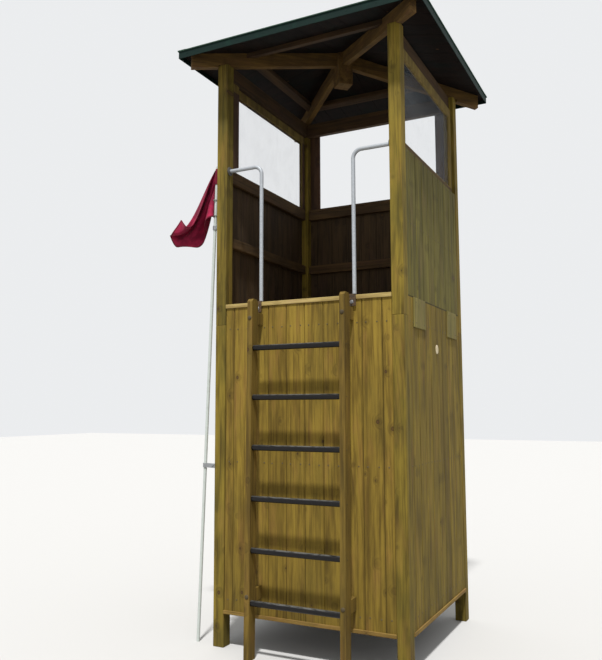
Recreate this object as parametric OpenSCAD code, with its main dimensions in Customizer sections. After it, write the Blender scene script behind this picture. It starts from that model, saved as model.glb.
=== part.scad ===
// Beach lifeguard tower: a square timber box on four legs carries a railed
// look-out cabin with an open front, a fixed ladder and a low hipped roof.
// Millimetres. +X to the right along the front, +Y to the back, +Z up.
// The origin is at the middle of the footprint, level with the feet.

/* [Overall] */
// Width of the tower over the corner posts, left to right
body_w = 1350; // [1200:10:1600]
// Depth of the tower over the corner posts, front to back
body_d = 1350; // [1200:10:1600]
// Height of the platform above the feet
platform_z = 2250; // [1800:10:2600]
// Height of the waist walls' top above the platform
waist_h = 930; // [800:10:1050]
// Height of the post tops above the platform
head_h = 1720; // [1600:10:2000]
// Gap under the walls, from the feet to the lowest board
wall_gap = 215; // [100:5:300]

/* [Posts] */
// Side of the square corner posts
post = 80; // [70:5:100]
// How far below the platform the upper posts stand on the lower ones
post_joint_drop = 140; // [100:5:250]

/* [Walls and floor] */
// Thickness of the wall boarding
board_t = 20; // [16:1:25]
// How far the boarding lies behind the faces of the posts
board_recess = 3; // [1:1:10]
// How far below the platform the side boarding changes over
seam_drop = 12; // [0:2:60]
// Width of the cleats below the seam of the side boarding
cleat_w = 230; // [120:10:300]
// Height of those cleats
cleat_h = 190; // [100:10:250]
// Thickness of those cleats
cleat_t = 10; // [6:1:20]
// Distance of the cleats from the middle of the side
cleat_at = 380; // [250:10:420]
// Height of the rails that the boarding is nailed to
rail_h = 70; // [50:5:100]
// Thickness of those rails
rail_t = 35; // [25:5:45]
// Height of the lowest wall rail above the boarding's lower edge
low_rail_up = 60; // [20:10:200]
// Height of the middle rail of the waist walls above the platform
waist_rail_up = 420; // [200:10:600]
// Thickness of the floor boards
floor_t = 28; // [20:1:35]
// Height of the floor joists
joist_h = 110; // [80:5:140]
// Thickness of the floor joists
joist_t = 45; // [35:5:60]
// Number of floor joists
joist_n = 4; // [3:1:6]
// Height of the cap board along the front of the platform
cap_h = 28; // [20:1:40]
// How far the cap stands out in front of the boarding
cap_out = 8; // [4:1:20]
// Height of the battens along the lower edge of the boarding
batten_h = 24; // [12:2:40]
// How far those battens stand out from the boarding
batten_out = 10; // [4:1:20]
// Thickness of the sills on the waist walls
sill_t = 22; // [16:1:30]
// How far the sills stand above the upper edge of the boarding
sill_up = 45; // [0:5:60]

/* [Windows] */
// Thickness of the clear window sheets
pane_t = 5; // [3:1:8]
// Height of the window frame's head
frame_w = 60; // [40:5:80]
// Width of the frame's stile beside the rear post
stile_w = 45; // [30:5:60]
// Width of the stud behind the front post
stud_w = 75; // [50:5:100]
// Depth of the window frame
frame_t = 30; // [20:5:40]
// How far the window frame lies behind the face of the boarding
frame_in = 20; // [10:1:25]
// Width of the boards beside the rear opening
jamb_w = 85; // [60:5:140]

/* [Roof] */
// Overhang of the eaves beyond the posts
eave_over = 195; // [120:5:260]
// Pitch of the four slopes in degrees
roof_pitch = 12.5; // [8:0.5:20]
// Depth of the hip rafters above the posts
hip_depth = 105; // [90:5:140]
// Thickness of the hip rafters
hip_t = 45; // [35:5:60]
// How far the rafter tails run past the corner of the posts
tail_out = 135; // [80:5:160]
// Height of the wall plates
plate_h = 110; // [80:5:140]
// Thickness of the wall plates
plate_t = 45; // [35:5:60]
// Side of the king block under the peak
king = 110; // [90:5:140]
// How far the king block hangs below the post tops
king_drop = 20; // [0:5:80]
// Distance of the purlins from the middle of the tower
purlin_at = 520; // [350:10:540]
// Width of a purlin, measured level
purlin_w = 60; // [40:5:90]
// Depth of a purlin
purlin_t = 35; // [25:5:50]
// Thickness of the roof boards
deck_t = 18; // [12:1:25]
// Thickness of the roof covering
cover_t = 6; // [4:1:12]
// How far the covering runs past the roof boards
cover_out = 10; // [6:1:30]
// Depth of the edge strip along the eaves
edge_h = 50; // [26:2:70]
// Thickness of the edge strip
edge_t = 4; // [2:1:6]
// Width of the trims along the hips
trim_w = 90; // [60:10:140]
// Thickness of those trims
trim_t = 2; // [1:0.5:4]
// Width of the cap at the peak
peak_w = 180; // [120:10:280]

/* [Ladder] */
// Clear width between the ladder rails
ladder_clear = 614; // [500:2:640]
// Width of a ladder rail seen from the front
ladder_rail_w = 36; // [30:1:45]
// Depth of a ladder rail
ladder_rail_d = 78; // [60:2:100]
// Space between the ladder and the wall at the platform
ladder_gap = 60; // [40:2:120]
// How much further out the foot of the ladder stands
ladder_lean = 30; // [0:5:150]
// How far the ladder rails rise above the platform
ladder_rise = 6; // [0:2:80]
// Number of rungs
rung_n = 6; // [5:1:7]
// Depth of the top rung below the platform
rung_first = 315; // [250:5:350]
// Distance from one rung to the next
rung_step = 318; // [280:1:330]
// Diameter of a rung
rung_d = 36; // [30:2:46]
// How far the middle of a rung lies behind the front of its rails
rung_in = 26; // [25:1:40]
// Height of the wood spacers behind the ladder
spacer_h = 80; // [60:10:140]
// Height of the low spacers above the boarding's lower edge
spacer_up = 130; // [50:10:400]
// Depth of the high spacers' undersides below the platform
spacer_drop = 160; // [150:10:400]

/* [Hand rails] */
// Diameter of the hand rail tube
tube_d = 26; // [20:1:34]
// Height of the hand rails above the platform
hand_h = 945; // [800:5:1000]
// Distance of each hand rail from the middle of the front
hand_x = 338; // [300:2:400]
// Radius of the bend, at the middle of the tube
bend_r = 56; // [45:1:90]
// How far the hand rails lie behind the faces of the front posts
hand_in = 36; // [32:1:45]
// Width of the angle plates under the hand rails
foot_w = 52; // [44:2:70]
// Thickness of those plates and of the round flanges
foot_t = 6; // [4:1:8]
// Height of the angle plates' leaves on the front wall
foot_h = 70; // [60:5:120]
// Diameter of the round flanges on the posts
flange_d = 60; // [50:2:70]

/* [Flag] */
// Diameter of the flag pole
pole_d = 22; // [18:1:32]
// Height of the top of the pole above the feet
pole_h = 3245; // [2950:5:3400]
// Distance from the foot of the pole to the corner post
pole_out = 145; // [60:5:200]
// Space between the pole's top and the corner post
pole_near = 13; // [8:1:30]
// How far the pole stands behind the faces of the front posts
pole_in = 40; // [30:1:50]
// Height of the lower pole clip
clip_low = 1150; // [800:10:1500]
// Space between the flag's hem and the upper pole clip
clip_gap = 60; // [20:10:300]
// Height of the pole clips
clip_h = 28; // [20:2:50]
// Thickness of the pole clips
clip_t = 5; // [3:1:8]
// Width of the hanging flag
flag_w = 405; // [200:5:450]
// Height of the hanging flag
flag_h = 520; // [380:10:560]
// Length of the flag's hem along the pole
hoist = 350; // [200:10:360]
// How far below the pole's top the flag begins
flag_drop = 16; // [10:2:60]
// Thickness of the flag's folds
flag_t = 50; // [40:5:80]

/* [Hidden] */

// Colours as the eye sees them
honey = [0.62, 0.50, 0.28];
brown = [0.48, 0.38, 0.22];
green = [0.10, 0.30, 0.24];
steel = [0.62, 0.65, 0.68];

// Smoothness of round pieces
$fn = 48;
// Tiny overrun that lets a cut pass clean through
eps = 1;

// Length of a square's diagonal over its side
diag = sqrt(2);

// Half sizes and levels worked out from the sizes above
half_w = body_w / 2;
half_d = body_d / 2;
waist_z = platform_z + waist_h;
post_top = platform_z + head_h;
joint_z = platform_z - post_joint_drop;
seam_z = platform_z - seam_drop;
clear_w = body_w - 2 * post;
clear_d = body_d - 2 * post;

// Outer half sizes of the roof at the eaves and its rise
eave_w = half_w + eave_over;
eave_d = half_d + eave_over;
roof_rise = eave_w * tan(roof_pitch);
peak_under = post_top + hip_depth + (half_w - post) * tan(roof_pitch);
eave_under = peak_under - roof_rise;

// Box given by its low and high corners
module span(a, b) {
    translate(a)
        cube(b - a);
}

// One corner's copy of a piece that is drawn at the front right
module at_corner(sx, sy) {
    mirror([sx < 0 ? 1 : 0, 0, 0])
        mirror([0, sy > 0 ? 1 : 0, 0])
            children();
}

// A post at the front right between two levels
module corner_post(z0, z1) {
    color(honey)
        span([half_w - post, -half_d, z0], [half_w, -half_d + post, z1]);
}

module lower_post(sx, sy) {
    at_corner(sx, sy)
        corner_post(0, joint_z);
}

module upper_post(sx, sy) {
    at_corner(sx, sy)
        corner_post(joint_z, post_top);
}

// A wall of boarding between the posts, drawn along the front face
module front_boarding(length, half, z0, z1) {
    span([-length / 2, -half + board_recess, z0],
         [length / 2, -half + board_recess + board_t, z1]);
}

// Turns what is drawn along the front to another side of the tower
module on_side(angle) {
    rotate([0, 0, angle])
        children();
}

module front_wall() {
    color(honey)
        front_boarding(clear_w, half_d, wall_gap, platform_z - cap_h);
}

module left_wall() {
    color(brown)
        on_side(-90)
            front_boarding(clear_d, half_w, wall_gap, seam_z);
}

module right_wall() {
    color(brown)
        on_side(90)
            front_boarding(clear_d, half_w, wall_gap, seam_z);
}

module back_wall() {
    color(brown)
        on_side(180)
            front_boarding(clear_w, half_d, wall_gap, seam_z);
}

// Rails behind one wall at the given heights of their undersides
module inner_rails(length, half, levels) {
    y0 = -half + board_recess + board_t;
    for (z = levels)
        span([-length / 2, y0, z], [length / 2, y0 + rail_t, z + rail_h]);
}

joist_top = platform_z - floor_t;
low_rail_z = wall_gap + low_rail_up;
high_rail_z = joist_top - joist_h - rail_h;
low_levels = [low_rail_z, (low_rail_z + high_rail_z) / 2, high_rail_z];

module wall_rails() {
    color(brown) {
        inner_rails(clear_w, half_d, low_levels);
        on_side(180)
            inner_rails(clear_w, half_d, low_levels);
        on_side(90)
            inner_rails(clear_d, half_w, low_levels);
        on_side(-90)
            inner_rails(clear_d, half_w, low_levels);
    }
}

module left_waist_wall() {
    color(brown)
        on_side(-90)
            front_boarding(clear_d, half_w, seam_z, waist_z);
}

module right_waist_wall() {
    color(brown)
        on_side(90)
            front_boarding(clear_d, half_w, seam_z, waist_z);
}

module back_waist_wall() {
    color(brown)
        on_side(180)
            front_boarding(clear_w, half_d, seam_z, waist_z);
}

sill_z = waist_z + sill_up;
waist_levels = [platform_z + waist_rail_up, sill_z - sill_t - rail_h];

module waist_rails() {
    color(brown) {
        on_side(180)
            inner_rails(clear_w, half_d, waist_levels);
        on_side(90)
            inner_rails(clear_d, half_w, waist_levels);
        on_side(-90)
            inner_rails(clear_d, half_w, waist_levels);
    }
}

// A flat sill on the top rail of a waist wall, behind its boarding
module sill(length, half) {
    y0 = -half + board_recess + board_t;
    span([-length / 2, y0, sill_z - sill_t], [length / 2, y0 + rail_t, sill_z]);
}

module waist_sills() {
    color(brown) {
        on_side(180)
            sill(clear_w, half_d);
        on_side(90)
            sill(clear_d, half_w);
        on_side(-90)
            sill(clear_d, half_w);
    }
}

// Cleats hang from the seam over the boarding of the lower box
module seam_cleats() {
    color(brown)
        for (a = [90, -90])
            on_side(a)
                for (x = [-cleat_at, cleat_at]) {
                    y1 = -half_w + board_recess;
                    span([x - cleat_w / 2, y1 - cleat_t, seam_z - cleat_h],
                         [x + cleat_w / 2, y1, seam_z]);
                }
}

// The cap closes the front boarding at the level of the platform
module front_cap() {
    color(honey)
        span([-clear_w / 2, -half_d + board_recess - cap_out, platform_z - cap_h],
             [clear_w / 2, -half_d + board_recess + board_t, platform_z]);
}

// A batten covers the lower ends of the boards of a wall
module batten(length, half) {
    y1 = -half + board_recess;
    span([-length / 2, y1 - batten_out, wall_gap], [length / 2, y1, wall_gap + batten_h]);
}

module foot_battens() {
    color(honey) {
        batten(clear_w, half_d);
        on_side(180)
            batten(clear_w, half_d);
        on_side(90)
            batten(clear_d, half_w);
        on_side(-90)
            batten(clear_d, half_w);
    }
}

// Joists run from front to back between the boarding
module floor_joists() {
    y0 = half_d - board_recess - board_t;
    step = (clear_w - joist_t) / (joist_n - 1);
    color(brown)
        for (i = [0 : joist_n - 1]) {
            x0 = -clear_w / 2 + i * step;
            span([x0, -y0, joist_top - joist_h], [x0 + joist_t, y0, joist_top]);
        }
}

// The floor is notched round the posts and reaches the boarding on each side
module floor_boards() {
    x0 = half_w - board_recess - board_t;
    y0 = half_d - board_recess - board_t;
    color(honey) {
        span([-clear_w / 2, -y0, joist_top], [clear_w / 2, y0, platform_z]);
        span([-x0, -clear_d / 2, joist_top], [x0, clear_d / 2, platform_z]);
    }
}

plate_z = post_top - plate_h;

// One side window frame, drawn along the front face with the front post on the left
module window_frame(length, half) {
    y0 = -half + board_recess + frame_in;
    span([-length / 2, y0, plate_z - frame_w], [length / 2, y0 + frame_t, plate_z]);
    span([length / 2 - stile_w, y0, sill_z], [length / 2, y0 + frame_t, plate_z]);
    span([-length / 2, y0, sill_z], [-length / 2 + stud_w, -half + post, plate_z]);
}

module window_frame_right() {
    color(brown)
        on_side(90)
            window_frame(clear_d, half_w);
}

module window_frame_left() {
    mirror([1, 0, 0])
        window_frame_right();
}

// A clear sheet that stands on the sill between the stud, the stile and the head
module window_sheet(length, half) {
    y0 = -half + board_recess + frame_in + frame_t / 2 - pane_t / 2;
    span([-length / 2 + stud_w, y0, sill_z],
         [length / 2 - stile_w, y0 + pane_t, plate_z - frame_w]);
}

module window_sheets() {
    color([0.7, 0.8, 0.9, 0.3])
        for (s = [-1, 1])
            mirror([s < 0 ? 1 : 0, 0, 0])
                on_side(90)
                    window_sheet(clear_d, half_w);
}

// Boards that narrow the rear opening beside the posts
module rear_jambs() {
    y0 = half_d - board_recess - board_t;
    color(brown)
        for (s = [-1, 1])
            mirror([s < 0 ? 1 : 0, 0, 0])
                span([clear_w / 2 - jamb_w, y0, waist_z], [clear_w / 2, y0 + board_t, post_top]);
}

// Wall plates tie the post tops along the sides and the back
module plate(length, half) {
    span([-length / 2, -half + post - plate_t, plate_z], [length / 2, -half + post, post_top]);
}

module wall_plates() {
    color(honey) {
        on_side(180)
            plate(clear_w, half_d);
        on_side(90)
            plate(clear_d, half_w);
        on_side(-90)
            plate(clear_d, half_w);
    }
}

// Outline of a gable that stands on the ground
module gable(half, low, top) {
    polygon([[-half, 0], [half, 0], [half, low], [0, top], [-half, low]]);
}

// Solid hipped form whose planes pass through the peak and the eaves, raised
// by lift and widened by out
module hipped(lift, out) {
    low = peak_under + lift - roof_rise * (eave_w + out) / eave_w;
    intersection() {
        rotate([90, 0, 0])
            linear_extrude(height = 2 * (eave_d + out), center = true)
                gable(eave_w + out, low, peak_under + lift);
        rotate([90, 0, 90])
            linear_extrude(height = 2 * (eave_w + out), center = true)
                gable(eave_d + out, low, peak_under + lift);
    }
}

deck_v = deck_t / cos(roof_pitch);
cover_v = cover_t / cos(roof_pitch);
trim_v = trim_t / cos(roof_pitch);
purlin_v = purlin_t / cos(roof_pitch);

// Fine joint between neighbouring slopes
slope_joint = 0.3;
// Clearance of the clips and of the flag's hem round the pole
pole_fit = 0.3;

// Leaves the four slopes of a hipped form, moved apart from the hips' lines
module slopes(apart) {
    reach = 2 * eave_w;
    for (a = [0, 90, 180, 270])
        intersection() {
            children();
            rotate([0, 0, a])
                translate([0, -apart, 0])
                    linear_extrude(height = 2 * peak_under)
                        polygon([[0, 0], [reach, -reach], [-reach, -reach]]);
        }
}

// Everything outside a square column
module outside_column(half) {
    difference() {
        span([-2 * eave_w, -2 * eave_d, 0], [2 * eave_w, 2 * eave_d, 2 * peak_under]);
        span([-half, -half, -eps], [half, half, 2 * peak_under + eps]);
    }
}

// Purlins run from hip to hip under the roof boards
module roof_purlins() {
    inner = purlin_at - purlin_w / 2;
    outer = purlin_at + purlin_w / 2;
    color(honey)
        slopes(hip_t / diag)
            difference() {
                hipped(0, 0);
                hipped(-purlin_v, cover_out);
                span([-inner, -inner, 0], [inner, inner, 2 * peak_under]);
                outside_column(outer);
            }
}

module roof_boards() {
    color([0.38, 0.26, 0.16])
        slopes(slope_joint)
            difference() {
                hipped(deck_v, 0);
                hipped(0, cover_out);
            }
}

module roof_cover() {
    color(green)
        slopes(slope_joint)
            difference() {
                hipped(deck_v + cover_v, cover_out);
                hipped(deck_v, 2 * cover_out);
            }
}

// Strips under the covering's edge hide the ends of the roof boards
module eave_strips() {
    top = eave_under + deck_v - edge_t * tan(roof_pitch);
    color(green)
        for (a = [0, 90, 180, 270]) {
            long = a % 180 == 0 ? eave_w : eave_d;
            out = a % 180 == 0 ? eave_d : eave_w;
            rotate([0, 0, a])
                span([-long - edge_t + 2 * slope_joint, -out - edge_t, top - edge_h],
                     [long - 2 * slope_joint, -out, top]);
        }
}

// Folded trims cover the joints along the hips
module hip_trims() {
    color(green)
        for (a = [45, 135, 225, 315])
            intersection() {
                rotate([0, 0, a])
                    translate([peak_w / 2, -trim_w / 2, 0])
                        cube([2 * eave_w, trim_w, 2 * peak_under]);
                difference() {
                    hipped(deck_v + cover_v + trim_v, cover_out);
                    hipped(deck_v + cover_v, 2 * cover_out);
                }
            }
}

// A small hipped cap closes the peak over the trims
module peak_cap() {
    color(green)
        difference() {
            intersection() {
                hipped(deck_v + cover_v + 2 * trim_v, 0);
                span([-peak_w / 2, -peak_w / 2, 0], [peak_w / 2, peak_w / 2, 2 * peak_under]);
            }
            hipped(deck_v + cover_v + trim_v, cover_out);
        }
}

// Profile of a hip rafter along its run from the middle outwards
hip_slope = tan(roof_pitch) / diag;
tail_run = (half_w + tail_out) * diag;
seat_in = (half_w - post) * diag;
seat_out = half_w * diag;
king_run = king / 2;
function hip_bottom(s) = post_top - (s - seat_in) * hip_slope;

module hip_rafter() {
    rotate([90, 0, 0])
        linear_extrude(height = hip_t, center = true)
            polygon([[king_run, hip_bottom(king_run)],
                     [seat_in, post_top],
                     [seat_out, post_top],
                     [seat_out, hip_bottom(seat_out)],
                     [tail_run, hip_bottom(tail_run)],
                     [tail_run, peak_under],
                     [king_run, peak_under]]);
}

module hip_rafters() {
    color(honey)
        for (a = [45, 135, 225, 315])
            intersection() {
                rotate([0, 0, a])
                    hip_rafter();
                hipped(0, 0);
            }
}

// The king block stands square to the hips, which butt against it
module king_block() {
    color(honey)
        intersection() {
            rotate([0, 0, 45])
                span([-king / 2, -king / 2, post_top - king_drop],
                     [king / 2, king / 2, peak_under]);
            hipped(0, 0);
        }
}

// Ladder lean as an angle, and the place of its middle plane at a level
ladder_y = -half_d + board_recess - ladder_gap - ladder_rail_d / 2;
function lean_y(z) = ladder_y - ladder_lean * (platform_z - z) / platform_z;
rail_z = platform_z + ladder_rise;
rail_x = ladder_clear / 2 + ladder_rail_w / 2;

module ladder_rail() {
    r = ladder_rail_w / 2;
    rotate([90, 0, 90])
        linear_extrude(height = ladder_rail_w, center = true)
            polygon([[lean_y(0) - ladder_rail_d / 2, 0],
                     [lean_y(0) + ladder_rail_d / 2, 0],
                     [lean_y(rail_z) + ladder_rail_d / 2, rail_z - r],
                     [lean_y(rail_z) + ladder_rail_d / 2 - r, rail_z],
                     [lean_y(rail_z) - ladder_rail_d / 2 + r, rail_z],
                     [lean_y(rail_z) - ladder_rail_d / 2, rail_z - r]]);
}

module ladder_rail_left() {
    color(honey)
        difference() {
            translate([-rail_x, 0, 0])
                ladder_rail();
            rung_holes();
        }
}

module ladder_rail_right() {
    color(honey)
        difference() {
            translate([rail_x, 0, 0])
                ladder_rail();
            rung_holes();
        }
}

rung_len = ladder_clear + ladder_rail_w;
function rung_z(i) = platform_z - rung_first - rung_step * i;

module rung_bars(d, len) {
    for (i = [0 : rung_n - 1])
        translate([0, lean_y(rung_z(i)) - ladder_rail_d / 2 + rung_in, rung_z(i)])
            rotate([0, 90, 0])
                cylinder(d = d, h = len, center = true);
}

module rung_holes() {
    rung_bars(rung_d, rung_len);
}

module ladder_rungs() {
    color([0.20, 0.20, 0.20])
        rung_bars(rung_d, rung_len);
}

// Wood spacers hold the ladder rails off the boarding
module ladder_spacers() {
    color(brown)
        for (s = [-1, 1])
            for (z = [wall_gap + spacer_up, platform_z - spacer_drop]) {
                y1 = -half_d + board_recess;
                difference() {
                    span([s * rail_x - ladder_rail_w / 2, lean_y(z) - ladder_rail_d, z],
                         [s * rail_x + ladder_rail_w / 2, y1, z + spacer_h]);
                    translate([s * rail_x, 0, 0])
                        rotate([90, 0, 90])
                            linear_extrude(height = ladder_rail_w + 2 * eps, center = true)
                                polygon([[lean_y(0) - 2 * ladder_rail_d, 0],
                                         [lean_y(0) + ladder_rail_d / 2, 0],
                                         [lean_y(rail_z) + ladder_rail_d / 2, rail_z],
                                         [lean_y(rail_z) - 2 * ladder_rail_d, rail_z]]);
                }
            }
}

hand_y = -half_d + hand_in;
hand_z = platform_z + hand_h;

// Steel tube that rises from the platform and bends to the post
module hand_rail() {
    color(steel) {
        translate([hand_x, hand_y, platform_z + foot_t])
            cylinder(d = tube_d, h = hand_h - bend_r - foot_t);
        translate([hand_x + bend_r, hand_y, hand_z - bend_r])
            rotate([90, 0, 0])
                rotate([0, 0, 90])
                    rotate_extrude(angle = 90)
                        translate([bend_r, 0])
                            circle(d = tube_d);
        translate([hand_x + bend_r, hand_y, hand_z])
            rotate([0, 90, 0])
                cylinder(d = tube_d, h = half_w - post - hand_x - bend_r);
        translate([half_w - post - foot_t, hand_y, hand_z])
            rotate([0, 90, 0])
                cylinder(d = flange_d, h = foot_t);
    }
}

module hand_rail_right() {
    hand_rail();
}

module hand_rail_left() {
    mirror([1, 0, 0])
        hand_rail();
}

// Angle plates under the tubes, bolted to the top of the front wall
module hand_rail_feet() {
    y0 = -half_d + board_recess - cap_out;
    color([0.30, 0.31, 0.32])
        for (s = [-1, 1])
            mirror([s < 0 ? 1 : 0, 0, 0]) {
                span([hand_x - foot_w / 2, y0 - foot_t, platform_z],
                     [hand_x + foot_w / 2, hand_y + foot_w / 2, platform_z + foot_t]);
                span([hand_x - foot_w / 2, y0 - foot_t, platform_z - foot_h],
                     [hand_x + foot_w / 2, y0, platform_z]);
            }
}

// The pole stands on the ground and leans towards the front left post
pole_run = pole_out - pole_near - pole_d / 2;
pole_lean = atan(pole_run / pole_h);

// Places what is drawn along the pole, from its foot upwards
module along_pole(up) {
    translate([-half_w - pole_out, -half_d + pole_in, 0])
        rotate([0, pole_lean, 0])
            translate([0, 0, up])
                children();
}

module flag_pole() {
    color([0.85, 0.86, 0.86])
        intersection() {
            along_pole(-pole_d)
                cylinder(d = pole_d, h = pole_h / cos(pole_lean) + pole_d);
            span([-2 * body_w, -2 * body_d, 0], [2 * body_w, 2 * body_d, 2 * pole_h]);
        }
}

// Places along the pole, measured from its foot
flag_top = pole_h / cos(pole_lean) - flag_drop;
clip_high = flag_top - hoist - clip_gap - clip_h;

// A ring round the pole with a strap that ends on the post
module pole_clip(up) {
    ring_d = pole_d + 2 * clip_t;
    difference() {
        intersection() {
            along_pole(up) {
                cylinder(d = ring_d, h = clip_h);
                translate([0, -pole_d / 2, 0])
                    cube([2 * pole_out, pole_d, clip_h]);
            }
            span([-2 * body_w, -2 * body_d, 0], [-half_w, 2 * body_d, 2 * pole_h]);
        }
        along_pole(up - eps)
            cylinder(d = pole_d + 2 * pole_fit, h = clip_h + 2 * eps);
    }
}

module pole_clips() {
    color([0.75, 0.76, 0.76]) {
        pole_clip(clip_low);
        pole_clip(clip_high);
    }
}

// Outline of the hanging flag from the hem's lower end round to its upper
// end, as shares of the flag's width and height
flag_fall = [[0.18, 0.70], [0.25, 0.90], [0.55, 1.00], [0.95, 0.98],
             [1.00, 0.86], [0.73, 0.64], [0.38, 0.64]];

// The flag hangs from the pole, which passes through its hem
module flag() {
    hem = pole_d / 2 + clip_t;
    color([0.60, 0.05, 0.10])
        along_pole(flag_top)
            difference() {
                rotate([90, 0, 0])
                    linear_extrude(height = flag_t, center = true)
                        polygon(concat([[hem, 0], [hem, -hoist], [-hem, -hoist]],
                                       [for (p = flag_fall) [-p[0] * flag_w, -p[1] * flag_h]],
                                       [[-hem, 0]]));
                translate([0, 0, -flag_h])
                    cylinder(d = pole_d + 2 * pole_fit, h = 2 * flag_h);
            }
}

lower_post(-1, -1);  // lower_post_front_left
lower_post(1, -1);  // lower_post_front_right
lower_post(-1, 1);  // lower_post_back_left
lower_post(1, 1);  // lower_post_back_right
upper_post(-1, -1);  // upper_post_front_left
upper_post(1, -1);  // upper_post_front_right
upper_post(-1, 1);  // upper_post_back_left
upper_post(1, 1);  // upper_post_back_right
front_wall();
left_wall();
right_wall();
back_wall();
wall_rails();
left_waist_wall();
right_waist_wall();
back_waist_wall();
waist_rails();
waist_sills();
seam_cleats();
front_cap();
foot_battens();
floor_joists();
floor_boards();
window_frame_left();
window_frame_right();
window_sheets();
rear_jambs();
wall_plates();
hip_rafters();
king_block();
roof_purlins();
roof_boards();
roof_cover();
eave_strips();
hip_trims();
peak_cap();
ladder_rail_left();
ladder_rail_right();
ladder_rungs();
ladder_spacers();
hand_rail_left();
hand_rail_right();
hand_rail_feet();
flag_pole();
pole_clips();
flag();
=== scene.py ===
# %% [markdown]
# # A timber look-out tower
# The tower comes from a CAD model: posts, walls, roof frame, ladder and pole are
# already in the right place and size. What is left for Blender is what makes it
# look real: single boards with V joints, grain and knots, green roofing, screws
# and bolts, dusty clear sheets and a flag of real cloth. Everything is in metres,
# with +Z up, and the ladder is on the -Y side.

# %% Load the CAD model
import math
import random

import bmesh
import bpy
import numpy as np
from mathutils import Matrix, Vector


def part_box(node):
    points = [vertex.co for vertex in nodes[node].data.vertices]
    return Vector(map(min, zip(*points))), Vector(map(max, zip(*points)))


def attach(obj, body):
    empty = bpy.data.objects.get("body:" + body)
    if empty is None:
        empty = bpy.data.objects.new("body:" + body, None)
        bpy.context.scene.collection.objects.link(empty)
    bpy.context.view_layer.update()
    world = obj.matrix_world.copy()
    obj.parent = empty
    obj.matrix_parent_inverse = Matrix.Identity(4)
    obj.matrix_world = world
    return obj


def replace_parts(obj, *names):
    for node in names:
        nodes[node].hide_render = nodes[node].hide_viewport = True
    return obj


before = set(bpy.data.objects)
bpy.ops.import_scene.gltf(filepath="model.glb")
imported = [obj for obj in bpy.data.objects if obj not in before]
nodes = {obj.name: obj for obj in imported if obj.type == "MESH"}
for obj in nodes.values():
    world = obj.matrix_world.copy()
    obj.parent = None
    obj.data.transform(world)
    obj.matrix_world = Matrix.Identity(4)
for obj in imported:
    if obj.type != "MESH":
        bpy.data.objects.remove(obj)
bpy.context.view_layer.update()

scene = bpy.context.scene


def put(name, data):
    """A new object for a mesh, a lamp or a camera."""
    made = bpy.data.objects.new(name, data)
    scene.collection.objects.link(made)
    return made


# %% [markdown]
# ## The camera
# The picture was taken from the right of the ladder, 1.6 m above the ground, and
# looks up a little. These angles are the ones that make the tower's own edges fall
# where the picture has them. A Track To constraint could aim the camera, but a
# fixed matrix keeps the slight roll too.

# %% Camera
CAMERA_AT = (2.081, -4.840, 1.555)
CAMERA_YAW = 26.79
CAMERA_PITCH = 6.03
CAMERA_ROLL = -0.18
LENS_MM = 39.74
SENSOR_MM = 36.0

camera_data = bpy.data.cameras.new("camera")
camera_data.sensor_width = SENSOR_MM
camera_data.lens = LENS_MM
camera = put("camera", camera_data)
camera.matrix_world = (
    Matrix.Translation(CAMERA_AT)
    @ Matrix.Rotation(math.radians(CAMERA_YAW), 4, "Z")
    @ Matrix.Rotation(math.radians(90 + CAMERA_PITCH), 4, "X")
    @ Matrix.Rotation(math.radians(CAMERA_ROLL), 4, "Z")
)
scene.camera = camera
scene.view_settings.view_transform = "Standard"
print("camera with a", LENS_MM, "mm lens at", CAMERA_AT)

# %% [markdown]
# ## Node graphs as sums
# A material is a graph of nodes. Written out link by link it is hard to read, so
# a small class stands for one socket and lets it be added and multiplied as a
# number would be. The reflected forms are there too, so that 1 - mask works.

# %% Sockets that can be added and multiplied
class Wire:
    """One output socket, used in Python sums."""

    def __init__(self, graph, socket):
        self.graph = graph
        self.socket = socket

    def out(self, name):
        return Wire(self.graph, self.socket.node.outputs[name])

    def __add__(self, other):
        return self.graph.math("ADD", self, other)

    def __radd__(self, other):
        return self.graph.math("ADD", other, self)

    def __sub__(self, other):
        return self.graph.math("SUBTRACT", self, other)

    def __rsub__(self, other):
        return self.graph.math("SUBTRACT", other, self)

    def __mul__(self, other):
        return self.graph.math("MULTIPLY", self, other)

    def __rmul__(self, other):
        return self.graph.math("MULTIPLY", other, self)

    def __abs__(self):
        return self.graph.math("ABSOLUTE", self)


print("sockets can be added, taken away and multiplied")

# %% [markdown]
# Every other node comes from one method, which first sets the node's settings and
# then fills or links its sockets. The short methods under it are only names for the
# nodes that this tower needs more than once.

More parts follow.
